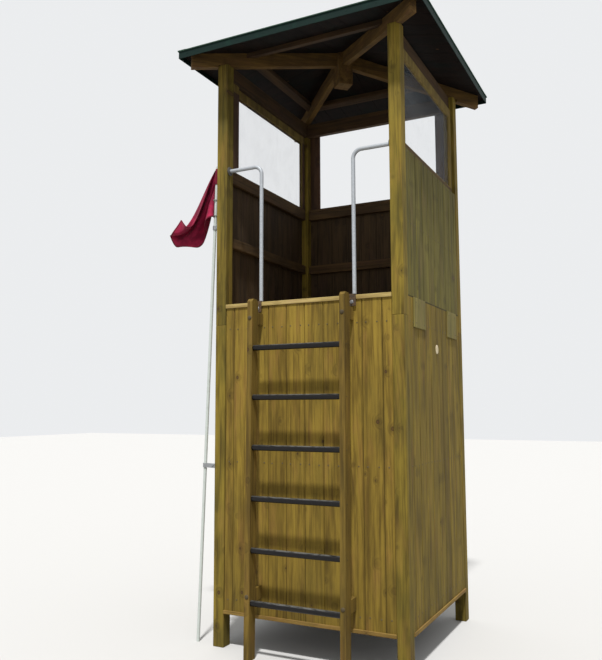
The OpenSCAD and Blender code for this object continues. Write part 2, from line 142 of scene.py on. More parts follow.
# %% Node trees
class Graph:
    """The node tree of a material or of the world."""

    def __init__(self, owner):
        owner.use_nodes = True
        self.owner = owner
        self.tree = owner.node_tree
        self.tree.nodes.clear()

    def node(self, kind, settings=None, inputs=None, output=0):
        made = self.tree.nodes.new(kind)
        for name, value in (settings or {}).items():
            setattr(made, name, value)
        for name, value in (inputs or {}).items():
            if isinstance(value, Wire):
                self.tree.links.new(value.socket, made.inputs[name])
            else:
                made.inputs[name].default_value = value
        return Wire(self, made.outputs[output]) if made.outputs else None

    def math(self, operation, *values):
        return self.node("ShaderNodeMath", {"operation": operation}, dict(enumerate(values)))

    def vector(self, operation, *values):
        return self.node("ShaderNodeVectorMath", {"operation": operation}, dict(enumerate(values)))

    def join(self, x, y, z):
        return self.node("ShaderNodeCombineXYZ", None, {0: x, 1: y, 2: z})

    def split(self, vector):
        first = self.node("ShaderNodeSeparateXYZ", None, {0: vector})
        return first, first.out("Y"), first.out("Z")

    def smooth(self, value, low, high):
        settings = {"interpolation_type": "SMOOTHSTEP"}
        inputs = {"Value": value, "From Min": low, "From Max": high}
        return self.node("ShaderNodeMapRange", settings, inputs)

    def mix(self, factor, first, second, blend="MIX"):
        settings = {"data_type": "RGBA", "blend_type": blend}
        return self.node("ShaderNodeMix", settings, {0: factor, 6: first, 7: second}, "Result")

    def noise(self, vector, scale, detail=3.0, roughness=0.6):
        inputs = {"Vector": vector, "Scale": scale, "Detail": detail, "Roughness": roughness}
        return self.node("ShaderNodeTexNoise", None, inputs)

    def stretched(self, vector, scales, detail=3.0, roughness=0.6):
        return self.noise(self.vector("MULTIPLY", vector, scales), 1.0, detail, roughness)

    def attribute(self, name, kind="GEOMETRY"):
        settings = {"attribute_name": name, "attribute_type": kind}
        return self.node("ShaderNodeAttribute", settings, None, "Fac")

    def bump(self, height, strength, distance):
        inputs = {"Strength": strength, "Distance": distance, "Height": height}
        return self.node("ShaderNodeBump", None, inputs)

    def place(self):
        return self.node("ShaderNodeTexCoord", None, None, "Object")

    def finish(self, **inputs):
        named = {name.replace("_", " "): value for name, value in inputs.items()}
        shader = self.node("ShaderNodeBsdfPrincipled", None, named)
        self.node("ShaderNodeOutputMaterial", None, {"Surface": shader})
        return self.owner


print("node trees are ready")

# %% [markdown]
# Colours are noted as a screen shows them, from 0 to 255, because that is how an eye
# compares them with a picture. Blender mixes light, so each is turned into light
# values first, with the same curve that the screen undoes.

# %% Colours and new materials
def eye(red, green, blue):
    """A colour as a screen shows it, turned into the light values that Blender mixes."""
    parts = [v / 255 for v in (red, green, blue)]
    return tuple(v / 12.92 if v <= 0.04045 else ((v + 0.055) / 1.055) ** 2.4 for v in parts) + (1.0,)


def new_material(name):
    return Graph(bpy.data.materials.new(name))


print("middle grey is", round(eye(128, 128, 128)[0], 3), "as light")

# %% [markdown]
# ## Light and ground
# The picture has a high sun, in front of the tower and a little to the right. A
# sun lamp from the same side, with a wider disc, gives the same modelling with
# softer edges, and an even dome of light fills the shade. A picture of a real place
# could light the scene too, but a plain dome favours no side. What the camera, a
# gloss or a clear sheet sees of the dome is a pale backdrop, told apart by the Light
# Path node.

# %% Sun and dome
SUN_FROM = Vector((0.17, -0.46, 1.0))
SUN_STRENGTH = 3.5
SUN_DISC = 4.0
DOME_COLOUR = (0.97, 0.985, 1.0, 1.0)
DOME_STRENGTH = 0.60
BACKDROP = 0.86


def seen_by_eye(g):
    """1 for rays that reach the eye straight, by a gloss or through a clear sheet."""
    camera_ray = g.node("ShaderNodeLightPath", None, None, "Is Camera Ray")
    glossy_or_camera = g.math("MAXIMUM", camera_ray, camera_ray.out("Is Glossy Ray"))
    return g.math("MAXIMUM", glossy_or_camera, camera_ray.out("Is Transmission Ray"))


sun_data = bpy.data.lights.new("sun", "SUN")
sun_data.energy = SUN_STRENGTH
sun_data.angle = math.radians(SUN_DISC)
sun = put("sun", sun_data)
sun.rotation_euler = SUN_FROM.to_track_quat("Z", "Y").to_euler()

scene.world = bpy.data.worlds.new("pale_dome")
g = Graph(scene.world)
dome_light = DOME_STRENGTH + seen_by_eye(g) * (BACKDROP - DOME_STRENGTH)
dome = g.node("ShaderNodeBackground", None, {"Color": DOME_COLOUR, "Strength": dome_light})
g.node("ShaderNodeOutputWorld", None, {"Surface": dome})
print("sun from", [round(v, 2) for v in SUN_FROM.normalized()])

# %% [markdown]
# The floor is pale to the eye, but it throws back less light than it shows, so that
# the roof stays dark from below. It is marked as stage, since it isn't part of the
# tower.

# %% Floor
FLOOR_SIZE = 60.0
FLOOR_GIVES = (0.24, 0.23, 0.21, 1.0)
FLOOR_SHOWS = (0.60, 0.59, 0.57, 1.0)

g = new_material("pale_floor")
floor_colour = g.mix(seen_by_eye(g), FLOOR_GIVES, FLOOR_SHOWS)
half = FLOOR_SIZE / 2
corners = [(-half, -half, 0.0), (half, -half, 0.0), (half, half, 0.0), (-half, half, 0.0)]
floor_mesh = bpy.data.meshes.new("floor")
floor_mesh.from_pydata(corners, [], [(0, 1, 2, 3)])
floor_mesh.materials.append(g.finish(Base_Color=floor_colour, Roughness=0.9))
floor = put("floor", floor_mesh)
print("a floor", FLOOR_SIZE, "m wide")

# %% [markdown]
# ## Pressure-treated pine
# The whole tower is softwood that was soaked in a green-brown preservative and then
# bleached by sun and salt. Three things tell the eye that it is pine: rings drawn
# out into long arches, fine dark streaks, and knots that push the grain aside. All
# of it is worked out from the place of a point in the tower, so no flat image is
# wrapped round anything and the end grain is right too. What differs from piece to
# piece is only the way the grain runs, so the axes are turned first.

# %% Which way the grain runs
def grain_axes(g, along):
    """Two ways across the grain and one along it."""
    x, y, z = g.split(g.place())
    if along == "up":
        return x, y, z
    if along == "left_right":
        return y, z, x
    if along == "front_back":
        return x, z, y
    side = g.math("GREATER_THAN", abs(x), abs(y))
    to_eave = x * side + y * (1 - side)
    past_eave = y * side + x * (1 - side)
    if along == "round":
        return z, to_eave, past_eave
    if along == "down_slope":
        return past_eave, z, to_eave
    return abs(x) - abs(y), z, abs(x) + abs(y)


print("the grain can run up, left to right, front to back, round, down a slope or along a hip")

# %% [markdown]
# Knots are scattered by the cells of a Voronoi texture that is drawn out along the
# board, one knot to a cell. A knot itself must stay round, so the way to the middle
# of its cell is measured after the stretch is taken out again. The grain round a
# knot is moved aside by adding a little to the count of rings near it.

# %% Knots
KNOT_CELLS = (7.0, 7.0, 2.8)
KNOT_SHAPE = (1.0, 0.25, 0.8)
KNOT_LEAST = 0.004
KNOT_SPREAD = 0.008


def knots(g, here, share):
    """Masks of the knot itself, its dark rim, and the wood that it disturbs."""
    cell = g.vector("MULTIPLY", here, KNOT_CELLS)
    scatter = g.node("ShaderNodeTexVoronoi", None, {"Vector": cell, "Scale": 1.0}, "Position")
    flatten = tuple(a / b for a, b in zip(KNOT_SHAPE, KNOT_CELLS))
    offset = g.vector("MULTIPLY", g.vector("SUBTRACT", cell, scatter), flatten)
    away = g.node("ShaderNodeVectorMath", {"operation": "LENGTH"}, {0: offset}, "Value")
    chance, size, _ = g.split(scatter.out("Color"))
    radius = KNOT_LEAST + size * KNOT_SPREAD
    kept = g.math("LESS_THAN", chance, share)
    knot = kept * (1 - g.smooth(away, radius * 0.8, radius * 1.2))
    rim = knot * g.smooth(away, radius * 0.45, radius * 0.95)
    halo = kept * (1 - g.smooth(away, radius, radius * 3.0 + 0.012))
    return knot, rim, halo


print("one knot to every", [round(1 / v, 2) for v in KNOT_CELLS], "m")

# %% [markdown]
# The figure of the wood is a sum. Rings are a sine across the board, bent by a slow
# drift and by the knots. Fibres, streaks and clouds are one and the same noise, drawn
# out along the grain by different amounts. A Wave texture could draw rings as well,
# but nothing would move them aside at a knot. The numbers in brackets are how often a
# pattern repeats in a metre, across the board, into it and along it.

# %% Figure of the wood
DRIFT = (6.0, 6.0, 0.5)
FIBRES = (300.0, 300.0, 8.0)
STREAKS = (55.0, 55.0, 1.1)
CLOUDS = (15.0, 15.0, 2.2)
STREAKS_AND_CLOUDS = 0.66
RINGS_ACROSS = 30.0
RINGS_INTO = 48.0
RINGS_DRIFT_BY = 9.0
RINGS_ASIDE_BY = 1.3


def figure(g, here, across, deep, halo, striped):
    """Fibres, rings and streaks, and the light and dark that they make together."""
    drift = g.stretched(here, DRIFT, 2.0, 0.5)
    turns = drift * RINGS_DRIFT_BY + across * RINGS_ACROSS + deep * RINGS_INTO + halo * RINGS_ASIDE_BY
    rings = 1 - g.smooth(g.math("SINE", turns * math.tau), 0.1, 0.95)
    fibres = g.stretched(here, FIBRES)
    streaks = g.smooth(g.stretched(here, STREAKS), 0.30, 0.70)
    clouds = g.smooth(g.stretched(here, CLOUDS), 0.26, 0.74)
    cloudy = STREAKS_AND_CLOUDS - striped
    drawn = rings * 0.12 + g.smooth(fibres, 0.3, 0.72) * 0.22 + streaks * striped + clouds * cloudy
    return fibres, rings, streaks, g.smooth(drawn, 0.10, 0.92)


print("rings, fibres, streaks and clouds are ready")

# %% [markdown]
# Weather comes on top of the figure, one Mix after the other: pale bare places, dark
# runs, and a shade that each board has of its own, lighter where the sun reaches.
# Vertex paint could hold all this, but masks that are worked out from the place need
# no painting and never repeat.

# %% Sun and rain on wood
BARE = (11.0, 11.0, 2.6)
RUNS = (34.0, 34.0, 0.7)
TANNED = (1.02, 0.90, 1.30)
PLATFORM_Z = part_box("floor_boards")[1].z


def shade(colour, share):
    """The same colour, darker."""
    return eye(*[v * share for v in colour])


def board_shade(g, seed, lots, bleached):
    """A grey that differs from board to board and gets lighter towards the platform."""
    drawn_lot = g.node("ShaderNodeTexWhiteNoise", {"noise_dimensions": "1D"}, {"W": seed}, "Value")
    sunny = g.smooth(g.split(g.place())[2], 0.1, PLATFORM_Z) * bleached + (1.0 - bleached * 0.5)
    lot = (drawn_lot * lots + (1.0 - lots * 0.6)) * sunny
    return g.node("ShaderNodeCombineColor", None, {0: lot, 1: lot, 2: lot})


def weathered(g, wood, here, grey, light, dark):
    """Bare places, the board's own shade, and dark runs."""
    bare = g.smooth(g.stretched(here, BARE), 0.50, 0.74)
    wood = g.mix(bare * 0.30, wood, eye(*[min(255, v * k) for v, k in zip(light, TANNED)]))
    wood = g.mix(1.0, wood, grey, "MULTIPLY")
    runs = g.smooth(g.stretched(here, RUNS), 0.60, 0.78)
    return g.mix(runs * 0.14, wood, shade(dark, 0.70))


print("boards bleach from the ground up to", PLATFORM_Z, "m")

# %% [markdown]
# Dirt gathers where water stands: in the joints between boards, and near the ground,
# where rain splashes it up. Along the seam between the lower and the upper boarding a
# dark line is painted shade of the gap there.

# %% Dirt on wood
SEAM_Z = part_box("right_wall")[1].z
SPLASH_Z = 0.38
SPLASHED = 0.4


def soiled(g, wood, dark, patches, seam):
    """Grime in joints, painted shade along the seam, and splashes low down."""
    grime_and_seam_shade = shade(dark, 0.45)
    wood = g.mix(g.attribute("groove") * 0.8, wood, grime_and_seam_shade)
    # The seam band is painted shade: the dark of the gap between the two boardings.
    if seam:
        from_seam = abs(g.split(g.place())[2] - SEAM_Z)
        wood = g.mix((1 - g.smooth(from_seam, 0.002, 0.007)) * 0.8, wood, grime_and_seam_shade)
    low = 1 - g.smooth(g.split(g.place())[2], 0.02, SPLASH_Z)
    return g.mix(low * g.smooth(patches, 0.25, 0.7) * SPLASHED, wood, shade(dark, 0.62))


print("splashed up to", SPLASH_Z, "m, seam at", round(SEAM_Z, 3), "m")

# %% [markdown]
# One function now puts a timber together. What it is told is the colour of its light
# and dark wood, the way the grain runs, the colour of its stain, and how much there
# is of each thing. On the window frames, the sides that face the cabin get the brown
# of the preservative, made darker as painted shade for the shadow in the cabin. There
# the surface normal points against the place, so the product of the two is negative.

# %% Timber
PATCHES = (4.5, 4.5, 1.6)
TIMBER_ROUGH = 0.74
KNOT_WOOD = (84, 58, 26)
KNOT_RIM = (46, 32, 16)
# Brown of the preservative, made darker as painted shade for the shadow inside the cabin.
INSIDE_BROWN_SHADE_DARK = (50, 32, 26)
INSIDE_BROWN_SHADE_LIGHT = (80, 54, 42)
WINDOW_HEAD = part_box("window_sheets")[1].z - 0.001


def inside_brown_and_shade(g, wood, tone):
    """Brown with painted shade on the faces that look into the cabin, below the heads of the windows."""
    normal = g.node("ShaderNodeNewGeometry", None, None, "Normal")
    outward = g.split(g.vector("MULTIPLY", normal, g.place()))[0]
    below_head = g.math("LESS_THAN", g.split(g.place())[2], WINDOW_HEAD)
    brown = g.mix(tone, eye(*INSIDE_BROWN_SHADE_DARK), eye(*INSIDE_BROWN_SHADE_LIGHT))
    return g.mix(g.math("LESS_THAN", outward, -0.3) * below_head, wood, brown)


def timber(
    name, light, dark, along, stain, stained=0.30, share=0.75, lots=0.22,
    striped=0.24, bleached=0.0, gloss=0.3, brown_and_shade_inside=False, seam=False,
):
    g = new_material(name)
    across, deep, length = grain_axes(g, along)
    seed = g.attribute("board") * 41.0 + g.attribute("grain", "OBJECT") * 23.0
    here = g.join(across + seed, deep + seed * 0.37, length + seed * 1.7)
    knot, rim, halo = knots(g, here, share)
    fibres, rings, streaks, tone = figure(g, here, across, deep, halo, striped)
    wood = g.mix(tone, eye(*dark), eye(*light))
    if brown_and_shade_inside:
        wood = inside_brown_and_shade(g, wood, tone)
    patches = g.stretched(g.place(), PATCHES, 4.0, 0.62)
    wood = g.mix(g.smooth(patches, 0.45, 0.70) * stained, wood, eye(*stain))
    wood = weathered(g, wood, here, board_shade(g, seed, lots, bleached), light, dark)
    wood = g.mix(halo * 0.40, wood, shade(dark, 0.78))
    wood = g.mix(knot * 0.8, wood, eye(*KNOT_WOOD))
    wood = g.mix(rim * 0.7, wood, eye(*KNOT_RIM))
    wood = soiled(g, wood, dark, patches, seam)
    relief = g.bump(fibres * 0.45 + rings * 0.25 + streaks * 0.3 - knot * 0.3, 0.5, 0.0012)
    shine = TIMBER_ROUGH + fibres * 0.16 - knot * 0.12
    return g.finish(Base_Color=wood, Roughness=shine, Normal=relief, Specular_IOR_Level=gloss)


print("windows end at", round(WINDOW_HEAD, 3), "m")

# %% [markdown]
# The front is the lightest and the cabin walls are greyer. The inner side and the rails
# under cover are brown, and with the plates and hips they are made darker as painted
# shade. The roof boards are dark stained, and painted shade makes them almost black.
# Each row gives the light wood, the dark wood, the way of the grain, the stain, and
# what is special about this timber.

# %% Timber finishes
TIMBERS = {
    "front_boards": ((160, 133, 51), (96, 75, 24), "up", (92, 82, 34), {"lots": 0.24, "bleached": 0.24}),
    "side_boards": (
        (142, 121, 45), (84, 68, 23), "up", (78, 71, 30), {"lots": 0.28, "bleached": 0.08, "seam": True},
    ),
    "cabin_boards": (
        (128, 118, 54), (66, 60, 24), "up", (66, 64, 31), {"lots": 0.36, "striped": 0.34, "seam": True},
    ),
    # Inner faces of the cabin walls: brown wood, made darker as painted shade.
    "cabin_inside_shaded": ((86, 67, 43), (48, 36, 23), "up", (40, 32, 21), {"lots": 0.30}),
    "posts": (
        (152, 130, 48), (84, 69, 22), "up", (78, 76, 30), {"stained": 0.45, "share": 1.0, "lots": 0.20},
    ),
    "ladder_timber": ((140, 114, 46), (82, 64, 24), "up", (76, 70, 30), {"share": 0.6}),
    # Rails, plates and hips: their own brown, made darker as painted shade for their place under the roof.
    "rails": ((104, 80, 48), (62, 46, 27), "round", (52, 40, 25), {}),
    "plates": ((84, 62, 36), (48, 34, 20), "round", (42, 34, 22), {}),
    "hips": ((124, 95, 47), (72, 52, 26), "hip", (62, 50, 27), {}),
    "caps": ((206, 182, 116), (146, 120, 64), "left_right", (116, 96, 54), {}),
    "battens": ((170, 138, 70), (116, 88, 40), "round", (104, 94, 42), {}),
    "floor_timber": ((152, 130, 86), (108, 88, 54), "left_right", (96, 84, 58), {}),
    "joists": ((126, 100, 62), (86, 64, 38), "front_back", (70, 54, 34), {}),
    # Roof boards: dark stained wood, made almost black as painted shade under the roof.
    "roof_timber": (
        (30, 20, 15), (11, 9, 8), "down_slope", (7, 15, 12), {"stained": 0.75, "share": 0.5, "gloss": 0.1},
    ),
    # Window frames: their faces toward the cabin get brown with painted shade.
    "window_timber": (
        (136, 116, 58), (88, 72, 32), "up", (76, 70, 36),
        {"stained": 0.4, "share": 0.4, "brown_and_shade_inside": True},
    ),
    "jambs": ((90, 64, 44), (56, 39, 28), "up", (46, 35, 27), {"stained": 0.4, "share": 0.4}),
    "cleats": ((150, 138, 76), (104, 95, 50), "up", (92, 86, 48), {"stained": 0.45, "share": 0.4}),
    "bare_wood": ((240, 226, 192), (212, 192, 150), "front_back", (196, 176, 136), {"share": 0.0}),
}

finishes = {}
for name, (light, dark, along, stain, special) in TIMBERS.items():
    finishes[name] = timber(name, light, dark, along, stain, **special)
print(len(finishes), "timbers")

# %% [markdown]
# ## Solids from outlines
# Boards, bolt heads and roofing are all either an outline pushed along a line or an
# outline turned round an axis. One collector gathers such solids and makes them one
# mesh. For each point it notes a number from 0 to 1 that the timber reads, so that
# no two boards have the same grain, and how deep the point lies in a dirty joint.
# Blender's own cube and cylinder could be scaled for this, but they would have no
# chamfers and need a thousand objects.

# %% Collector of solids
class Solids:
    """Gathers closed solids for one named piece."""

    def __init__(self, seed):
        self.points = []
        self.faces = []
        self.numbers = []
        self.grooves = []
        self.marks = []
        self.random = random.Random(seed)

    def add(self, points, faces, grooves=None, marks=None):
        """One more solid. Marked faces get the second finish."""
        start = len(self.points)
        self.points += [tuple(p) for p in points]
        self.faces += [tuple(start + i for i in face) for face in faces]
        self.numbers += [self.random.random()] * len(points)
        self.grooves += grooves or [0.0] * len(points)
        self.marks += marks or [0] * len(faces)

    def make(self, name, materials, smooth=False):
        """The piece itself, with its faces turned outwards."""
        mesh = bpy.data.meshes.new(name)
        mesh.from_pydata(self.points, [], self.faces)
        for attribute, values in (("board", self.numbers), ("groove", self.grooves)):
            mesh.attributes.new(attribute, "FLOAT", "POINT").data.foreach_set("value", values)
        mesh.polygons.foreach_set("material_index", self.marks)
        mesh.polygons.foreach_set("use_smooth", [smooth] * len(mesh.polygons))
        for material in materials:
            mesh.materials.append(material)
        outward = bmesh.new()
        outward.from_mesh(mesh)
        bmesh.ops.recalc_face_normals(outward, faces=outward.faces)
        outward.to_mesh(mesh)
        outward.free()
        piece = put(name, mesh)
        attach(piece, "root")
        print(name, len(self.faces), "faces")
        return piece


print("collector is ready")

# %% [markdown]
# ## Boarded walls
# The walls are upright tongued boards, 132 mm from joint to joint, with a V where
# two boards meet. The joints lie even to both sides of the middle of the wall, so
# the two outer boards are cut to half their width. An Array modifier could repeat
# one board, but then all would be the same. Here each board is one chamfered prism
# of its own.

# %% Boards and joints
BOARD_PITCH = 0.1325
V_JOINT = 0.0055
INNER_CHAMFER = 0.002


def prism(solids, first, second, grooves=None, marked=()):
    """A solid between two outlines with as many points. Marked sides get the second finish."""
    n = len(first)
    sides = [(i, (i + 1) % n, n + (i + 1) % n, n + i) for i in range(n)]
    faces = [tuple(reversed(range(n))), tuple(range(n, 2 * n)), *sides]
    marks = [0, 0] + [int(i in marked) for i in range(n)]
    solids.add([*first, *second], faces, (grooves or [0.0] * n) * 2, marks)


def joints(low, high, pitch):
    """Edges of the boards between two ends, even to both sides of the middle."""
    middle = (low + high) / 2
    count = int((high - low) / 2 / pitch)
    return [low, *[middle + pitch * k for k in range(-count, count + 1)], high]


def board_section(a, b, face, inner, inward):
    """A board seen from above, from joint a to joint b, with a wide chamfer outside."""
    return [
        (a, face + inward * V_JOINT), (a + V_JOINT, face),
        (b - V_JOINT, face), (b, face + inward * V_JOINT),
        (b, inner - inward * INNER_CHAMFER), (b - INNER_CHAMFER, inner),
        (a + INNER_CHAMFER, inner), (a, inner - inward * INNER_CHAMFER),
    ]


print("a V joint is", 2 * V_JOINT, "m wide")

# %% [markdown]
# A board stands a hair behind or before its neighbours, because real boards never
# lie in one plane, and some joints hold more dirt than others. The inner side of the
# cabin walls gets a second finish: the brown of wood that never saw the sun, made
# darker as painted shade for the shadow inside the cabin. The place of the joints is
# kept for the screws.

# %% Walls
BOARD_UNEVEN = 0.0008
LEAST_DIRT = 0.25
INNER_DIRT = 0.8
INNER_SIDES = (4, 5, 6)
wall_boards = {}


def wall(name, node, materials, seed):
    low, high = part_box(node)
    solids = Solids(seed)
    runs_x = high.x - low.x > high.y - low.y
    start, end = (low.x, high.x) if runs_x else (low.y, high.y)
    near, far = (low.y, high.y) if runs_x else (low.x, high.x)
    outer, inner = (far, near) if abs(far) > abs(near) else (near, far)
    inward = math.copysign(1, inner - outer)
    edges = joints(start, end, BOARD_PITCH)
    dirt = [LEAST_DIRT + (1 - LEAST_DIRT) * solids.random.random() ** 1.5 for _ in edges]
    for a, b, dirt_a, dirt_b in zip(edges, edges[1:], dirt, dirt[1:]):
        face = outer + inward * solids.random.random() * BOARD_UNEVEN
        section = board_section(a, b, face, inner, inward)
        flat = [(u, v) if runs_x else (v, u) for u, v in section]
        grooves = [dirt_a, 0.0, 0.0, dirt_b, INNER_DIRT, 0.0, 0.0, INNER_DIRT]
        bottom = low.z + solids.random.random() * BOARD_UNEVEN
        first = [(x, y, bottom) for x, y in flat]
        second = [(x, y, high.z) for x, y in flat]
        prism(solids, first, second, grooves, INNER_SIDES if len(materials) > 1 else ())
    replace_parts(solids.make(name, materials), node)
    wall_boards[node] = (edges, outer, -inward, runs_x)


wall("front_wall_boards", "front_wall", [finishes["front_boards"]], 11)
for number, side in enumerate(("left", "right", "back")):
    wall(f"{side}_wall_boards", f"{side}_wall", [finishes["side_boards"]], 20 + number)
    # The second finish, for faces inside the cabin, is brown with painted shade.
    both = [finishes["cabin_boards"], finishes["cabin_inside_shaded"]]
    wall(f"{side}_waist_boards", f"{side}_waist_wall", both, 30 + number)

# %% [markdown]
# ## Floor boards
# The floor is planed planks laid from left to right over the joists, with a fine gap
# so that rain runs off. The CAD floor is notched round the four posts, so the planks
# beside the posts are shorter than the others. One flat slab with dark lines drawn on
# it would be quicker, but it has no gaps to look through and no eased edges.

# %% Floor planks
PLANK_PITCH = 0.119
PLANK_GAP = 0.004
PLANK_EASE = 0.002


def plank(solids, x0, x1, y0, y1, z0, z1):
    ease = PLANK_EASE
    section = [(y0, z0), (y1, z0), (y1, z1 - ease), (y1 - ease, z1), (y0 + ease, z1), (y0, z1 - ease)]
    prism(solids, [(x0, y, z) for y, z in section], [(x1, y, z) for y, z in section])


floor_low, floor_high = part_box("floor_boards")
POST_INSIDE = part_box("upper_post_back_right")[0].x
planks = Solids(41)
plank_edges = joints(-POST_INSIDE, POST_INSIDE, PLANK_PITCH)
runs = [(floor_low.x, floor_high.x, a, b) for a, b in zip(plank_edges, plank_edges[1:])]
runs.append((-POST_INSIDE, POST_INSIDE, floor_low.y, -POST_INSIDE))
runs.append((-POST_INSIDE, POST_INSIDE, POST_INSIDE, floor_high.y))
for x0, x1, a, b in runs:
    plank(planks, x0, x1, a + PLANK_GAP / 2, b - PLANK_GAP / 2, floor_low.z, floor_high.z)
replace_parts(planks.make("floor_planks", [finishes["floor_timber"]]), "floor_boards")

# %% [markdown]
# ## Roof boards
# From below one looks straight into the roof: planks run down each of the four
# slopes, cut off aslant along the hips. They could be cut with Boolean modifiers. It
# is simpler to draw them from above, where a slope is a triangle, so each plank is a
# four-cornered outline, or a five-cornered one under the peak. Each corner is then
# lifted to the slope's height.

# %% Roof boards
ROOF_PLANK = 0.145
ROOF_GAP = 0.0025
ROOF_PITCH = math.radians(12.5)
ROOF_BOARD_THICK = 0.018
EAVE_INSET = 0.001
FALL = math.tan(ROOF_PITCH)
PEAK_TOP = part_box("roof_boards")[1].z
PEAK_UNDER = PEAK_TOP - ROOF_BOARD_THICK / math.cos(ROOF_PITCH)
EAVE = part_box("roof_boards")[1].x


def quarter_turns(points, quarter):
    """Points turned by quarter turns round the middle of the tower."""
    for _ in range(quarter):
        points = [(-y, x, z) for x, y, z in points]
    return points


def slope_plank(solids, x0, x1, quarter):
    plan = [(x0, -EAVE), (x1, -EAVE), (x1, -abs(x1))]
    if x0 < 0 < x1:
        plan.append((0.0, 0.0))
    plan.append((x0, -abs(x0)))
    low = [(x, y, PEAK_UNDER + y * FALL) for x, y in plan]
    high = [(x, y, PEAK_TOP + y * FALL) for x, y in plan]
    prism(solids, quarter_turns(low, quarter), quarter_turns(high, quarter))


roof_planks = Solids(51)
roof_edges = joints(-EAVE + EAVE_INSET, EAVE - EAVE_INSET, ROOF_PLANK)
for quarter in range(4):
    for a, b in zip(roof_edges, roof_edges[1:]):
        slope_plank(roof_planks, a + ROOF_GAP / 2, b - ROOF_GAP / 2, quarter)
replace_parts(roof_planks.make("roof_planks", [finishes["roof_timber"]]), "roof_boards")

# %% [markdown]
# ## Green roofing
# The covering is green mineral felt. Its grains are a fine cell texture: every grain
# has its own green and stands up by its own height. The edge strips and hip trims are
# green coated sheet, smoother, with chalky worn patches. The finish for coated things
# is kept general, because pole, clips and screws are much the same: one colour, a
# second one where it is worn, and a fine unevenness.

# %% Felt and coated sheet
GRAINS_PER_METRE = 420.0
FELT_DARK = (20, 50, 40)
FELT_LIGHT = (54, 90, 70)
FELT_WORN = (72, 88, 70)


def felt():
    g = new_material("green_felt")
    texture = {"Vector": g.place(), "Scale": GRAINS_PER_METRE}
    value = g.split(g.node("ShaderNodeTexVoronoi", None, texture, "Color"))[0]
    patches = g.noise(g.place(), 5.0, 4.0)
    green = g.mix(value, eye(*FELT_DARK), eye(*FELT_LIGHT))
    green = g.mix(g.smooth(patches, 0.45, 0.75) * 0.45, green, eye(*FELT_WORN))
    return g.finish(Base_Color=green, Roughness=0.82 + value * 0.1, Normal=g.bump(value, 0.5, 0.0008))


def coated(name, colour, worn, rough, metallic=0.0, share=0.55, gloss=0.5):
    g = new_material(name)
    chalk = g.noise(g.place(), 14.0, 5.0, 0.65)
    fine = g.noise(g.place(), 160.0)
    paint = g.mix(g.smooth(chalk, 0.48, 0.78) * share, eye(*colour), eye(*worn))
    inputs = {"Base_Color": paint, "Roughness": rough + chalk * 0.25, "Metallic": metallic}
    return g.finish(**inputs, Specular_IOR_Level=gloss, Normal=g.bump(fine, 0.12, 0.0006))


finishes["felt"] = felt()
finishes["green_sheet"] = coated("green_sheet", (6, 33, 28), (24, 64, 51), 0.55, share=0.5, gloss=0.2)
print("felt with grains of", round(1000 / GRAINS_PER_METRE, 1), "mm")

# %% [markdown]
# The felt is laid in courses that lap over each other from the eaves up. Each course
# is a thin wedge, thicker at its lower edge, which gives the fine step that catches
# the light. A bump could fake the step, but not at the edge of the roof.

# %% Courses of felt
COURSES = 5
LAP_STEP = 0.003
COVER_THICK = 0.006
COVER_RISE = COVER_THICK / math.cos(ROOF_PITCH)
COVER_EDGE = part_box("roof_cover")[1].x
HIP_GAP = 0.0003

courses = Solids(61)
for quarter in range(4):
    for k in range(COURSES):
        inner = COVER_EDGE * k / COURSES
        outer = COVER_EDGE * (k + 1) / COURSES
        plan = [(-outer + HIP_GAP, -outer), (outer - HIP_GAP, -outer), (inner, -inner), (-inner, -inner)]
        rises = [COVER_RISE, COVER_RISE, COVER_RISE - LAP_STEP, COVER_RISE - LAP_STEP]
        if k == 0:
            plan = plan[:3]
        low = [(x, y, PEAK_TOP + y * FALL) for x, y in plan]
        high = [(x, y, z + rise) for (x, y, z), rise in zip(low, rises)]
        prism(courses, quarter_turns(low, quarter), quarter_turns(high, quarter))
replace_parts(courses.make("roof_felt", [finishes["felt"]]), "roof_cover")

# %% [markdown]
# ## The timber frame
# The posts, rails, plates and rafters keep their CAD shapes. Sawn timber has eased
# edges that catch a line of light, so each gets a Weld and a Bevel modifier, which
# work on the fly and leave the CAD mesh alone. A custom property gives each piece
# its own part of the wood.

# %% Finishes for the CAD timber
EASED_EDGE = 0.0028
SAME_POINT = 0.00002
SHARP_FROM = 35
timber_of = {
    "posts": [name for name in nodes if "post_" in name],
    "rails": ["wall_rails", "waist_rails", "waist_sills"],
    "plates": ["wall_plates", "roof_purlins"],
    "hips": ["hip_rafters", "king_block"],
    "caps": ["front_cap"],
    "battens": ["foot_battens"],
    "joists": ["floor_joists"],
    "ladder_timber": ["ladder_rail_left", "ladder_rail_right", "ladder_spacers"],
    "window_timber": ["window_frame_left", "window_frame_right"],
    "jambs": ["rear_jambs"],
    "cleats": ["seam_cleats"],
}


def dress(name, material):
    node = nodes[name]
    node.data.materials.clear()
    node.data.materials.append(material)
    return node


def ease(node):
    weld = node.modifiers.new("weld", "WELD")
    weld.merge_threshold = SAME_POINT
    bevel = node.modifiers.new("ease", "BEVEL")
    bevel.width = EASED_EDGE
    bevel.segments = 2
    bevel.limit_method = "ANGLE"
    bevel.angle_limit = math.radians(SHARP_FROM)


grain_random = random.Random(7)
for finish, names in timber_of.items():
    for name in names:
        node = dress(name, finishes[finish])
        node["grain"] = round(grain_random.random(), 3)
        ease(node)
print(sum(len(v) for v in timber_of.values()), "timber nodes dressed")

# %% [markdown]
# ## Metal, tube and clear sheet
# The hand rails are galvanised tube, pale and a little clouded, with the fine spangle
# of zinc and with duller flanges at the posts. Flanges could be a mesh and a finish of
# their own, but the tube ends in them at a known place, so a mask on the way out from
# the middle does it.

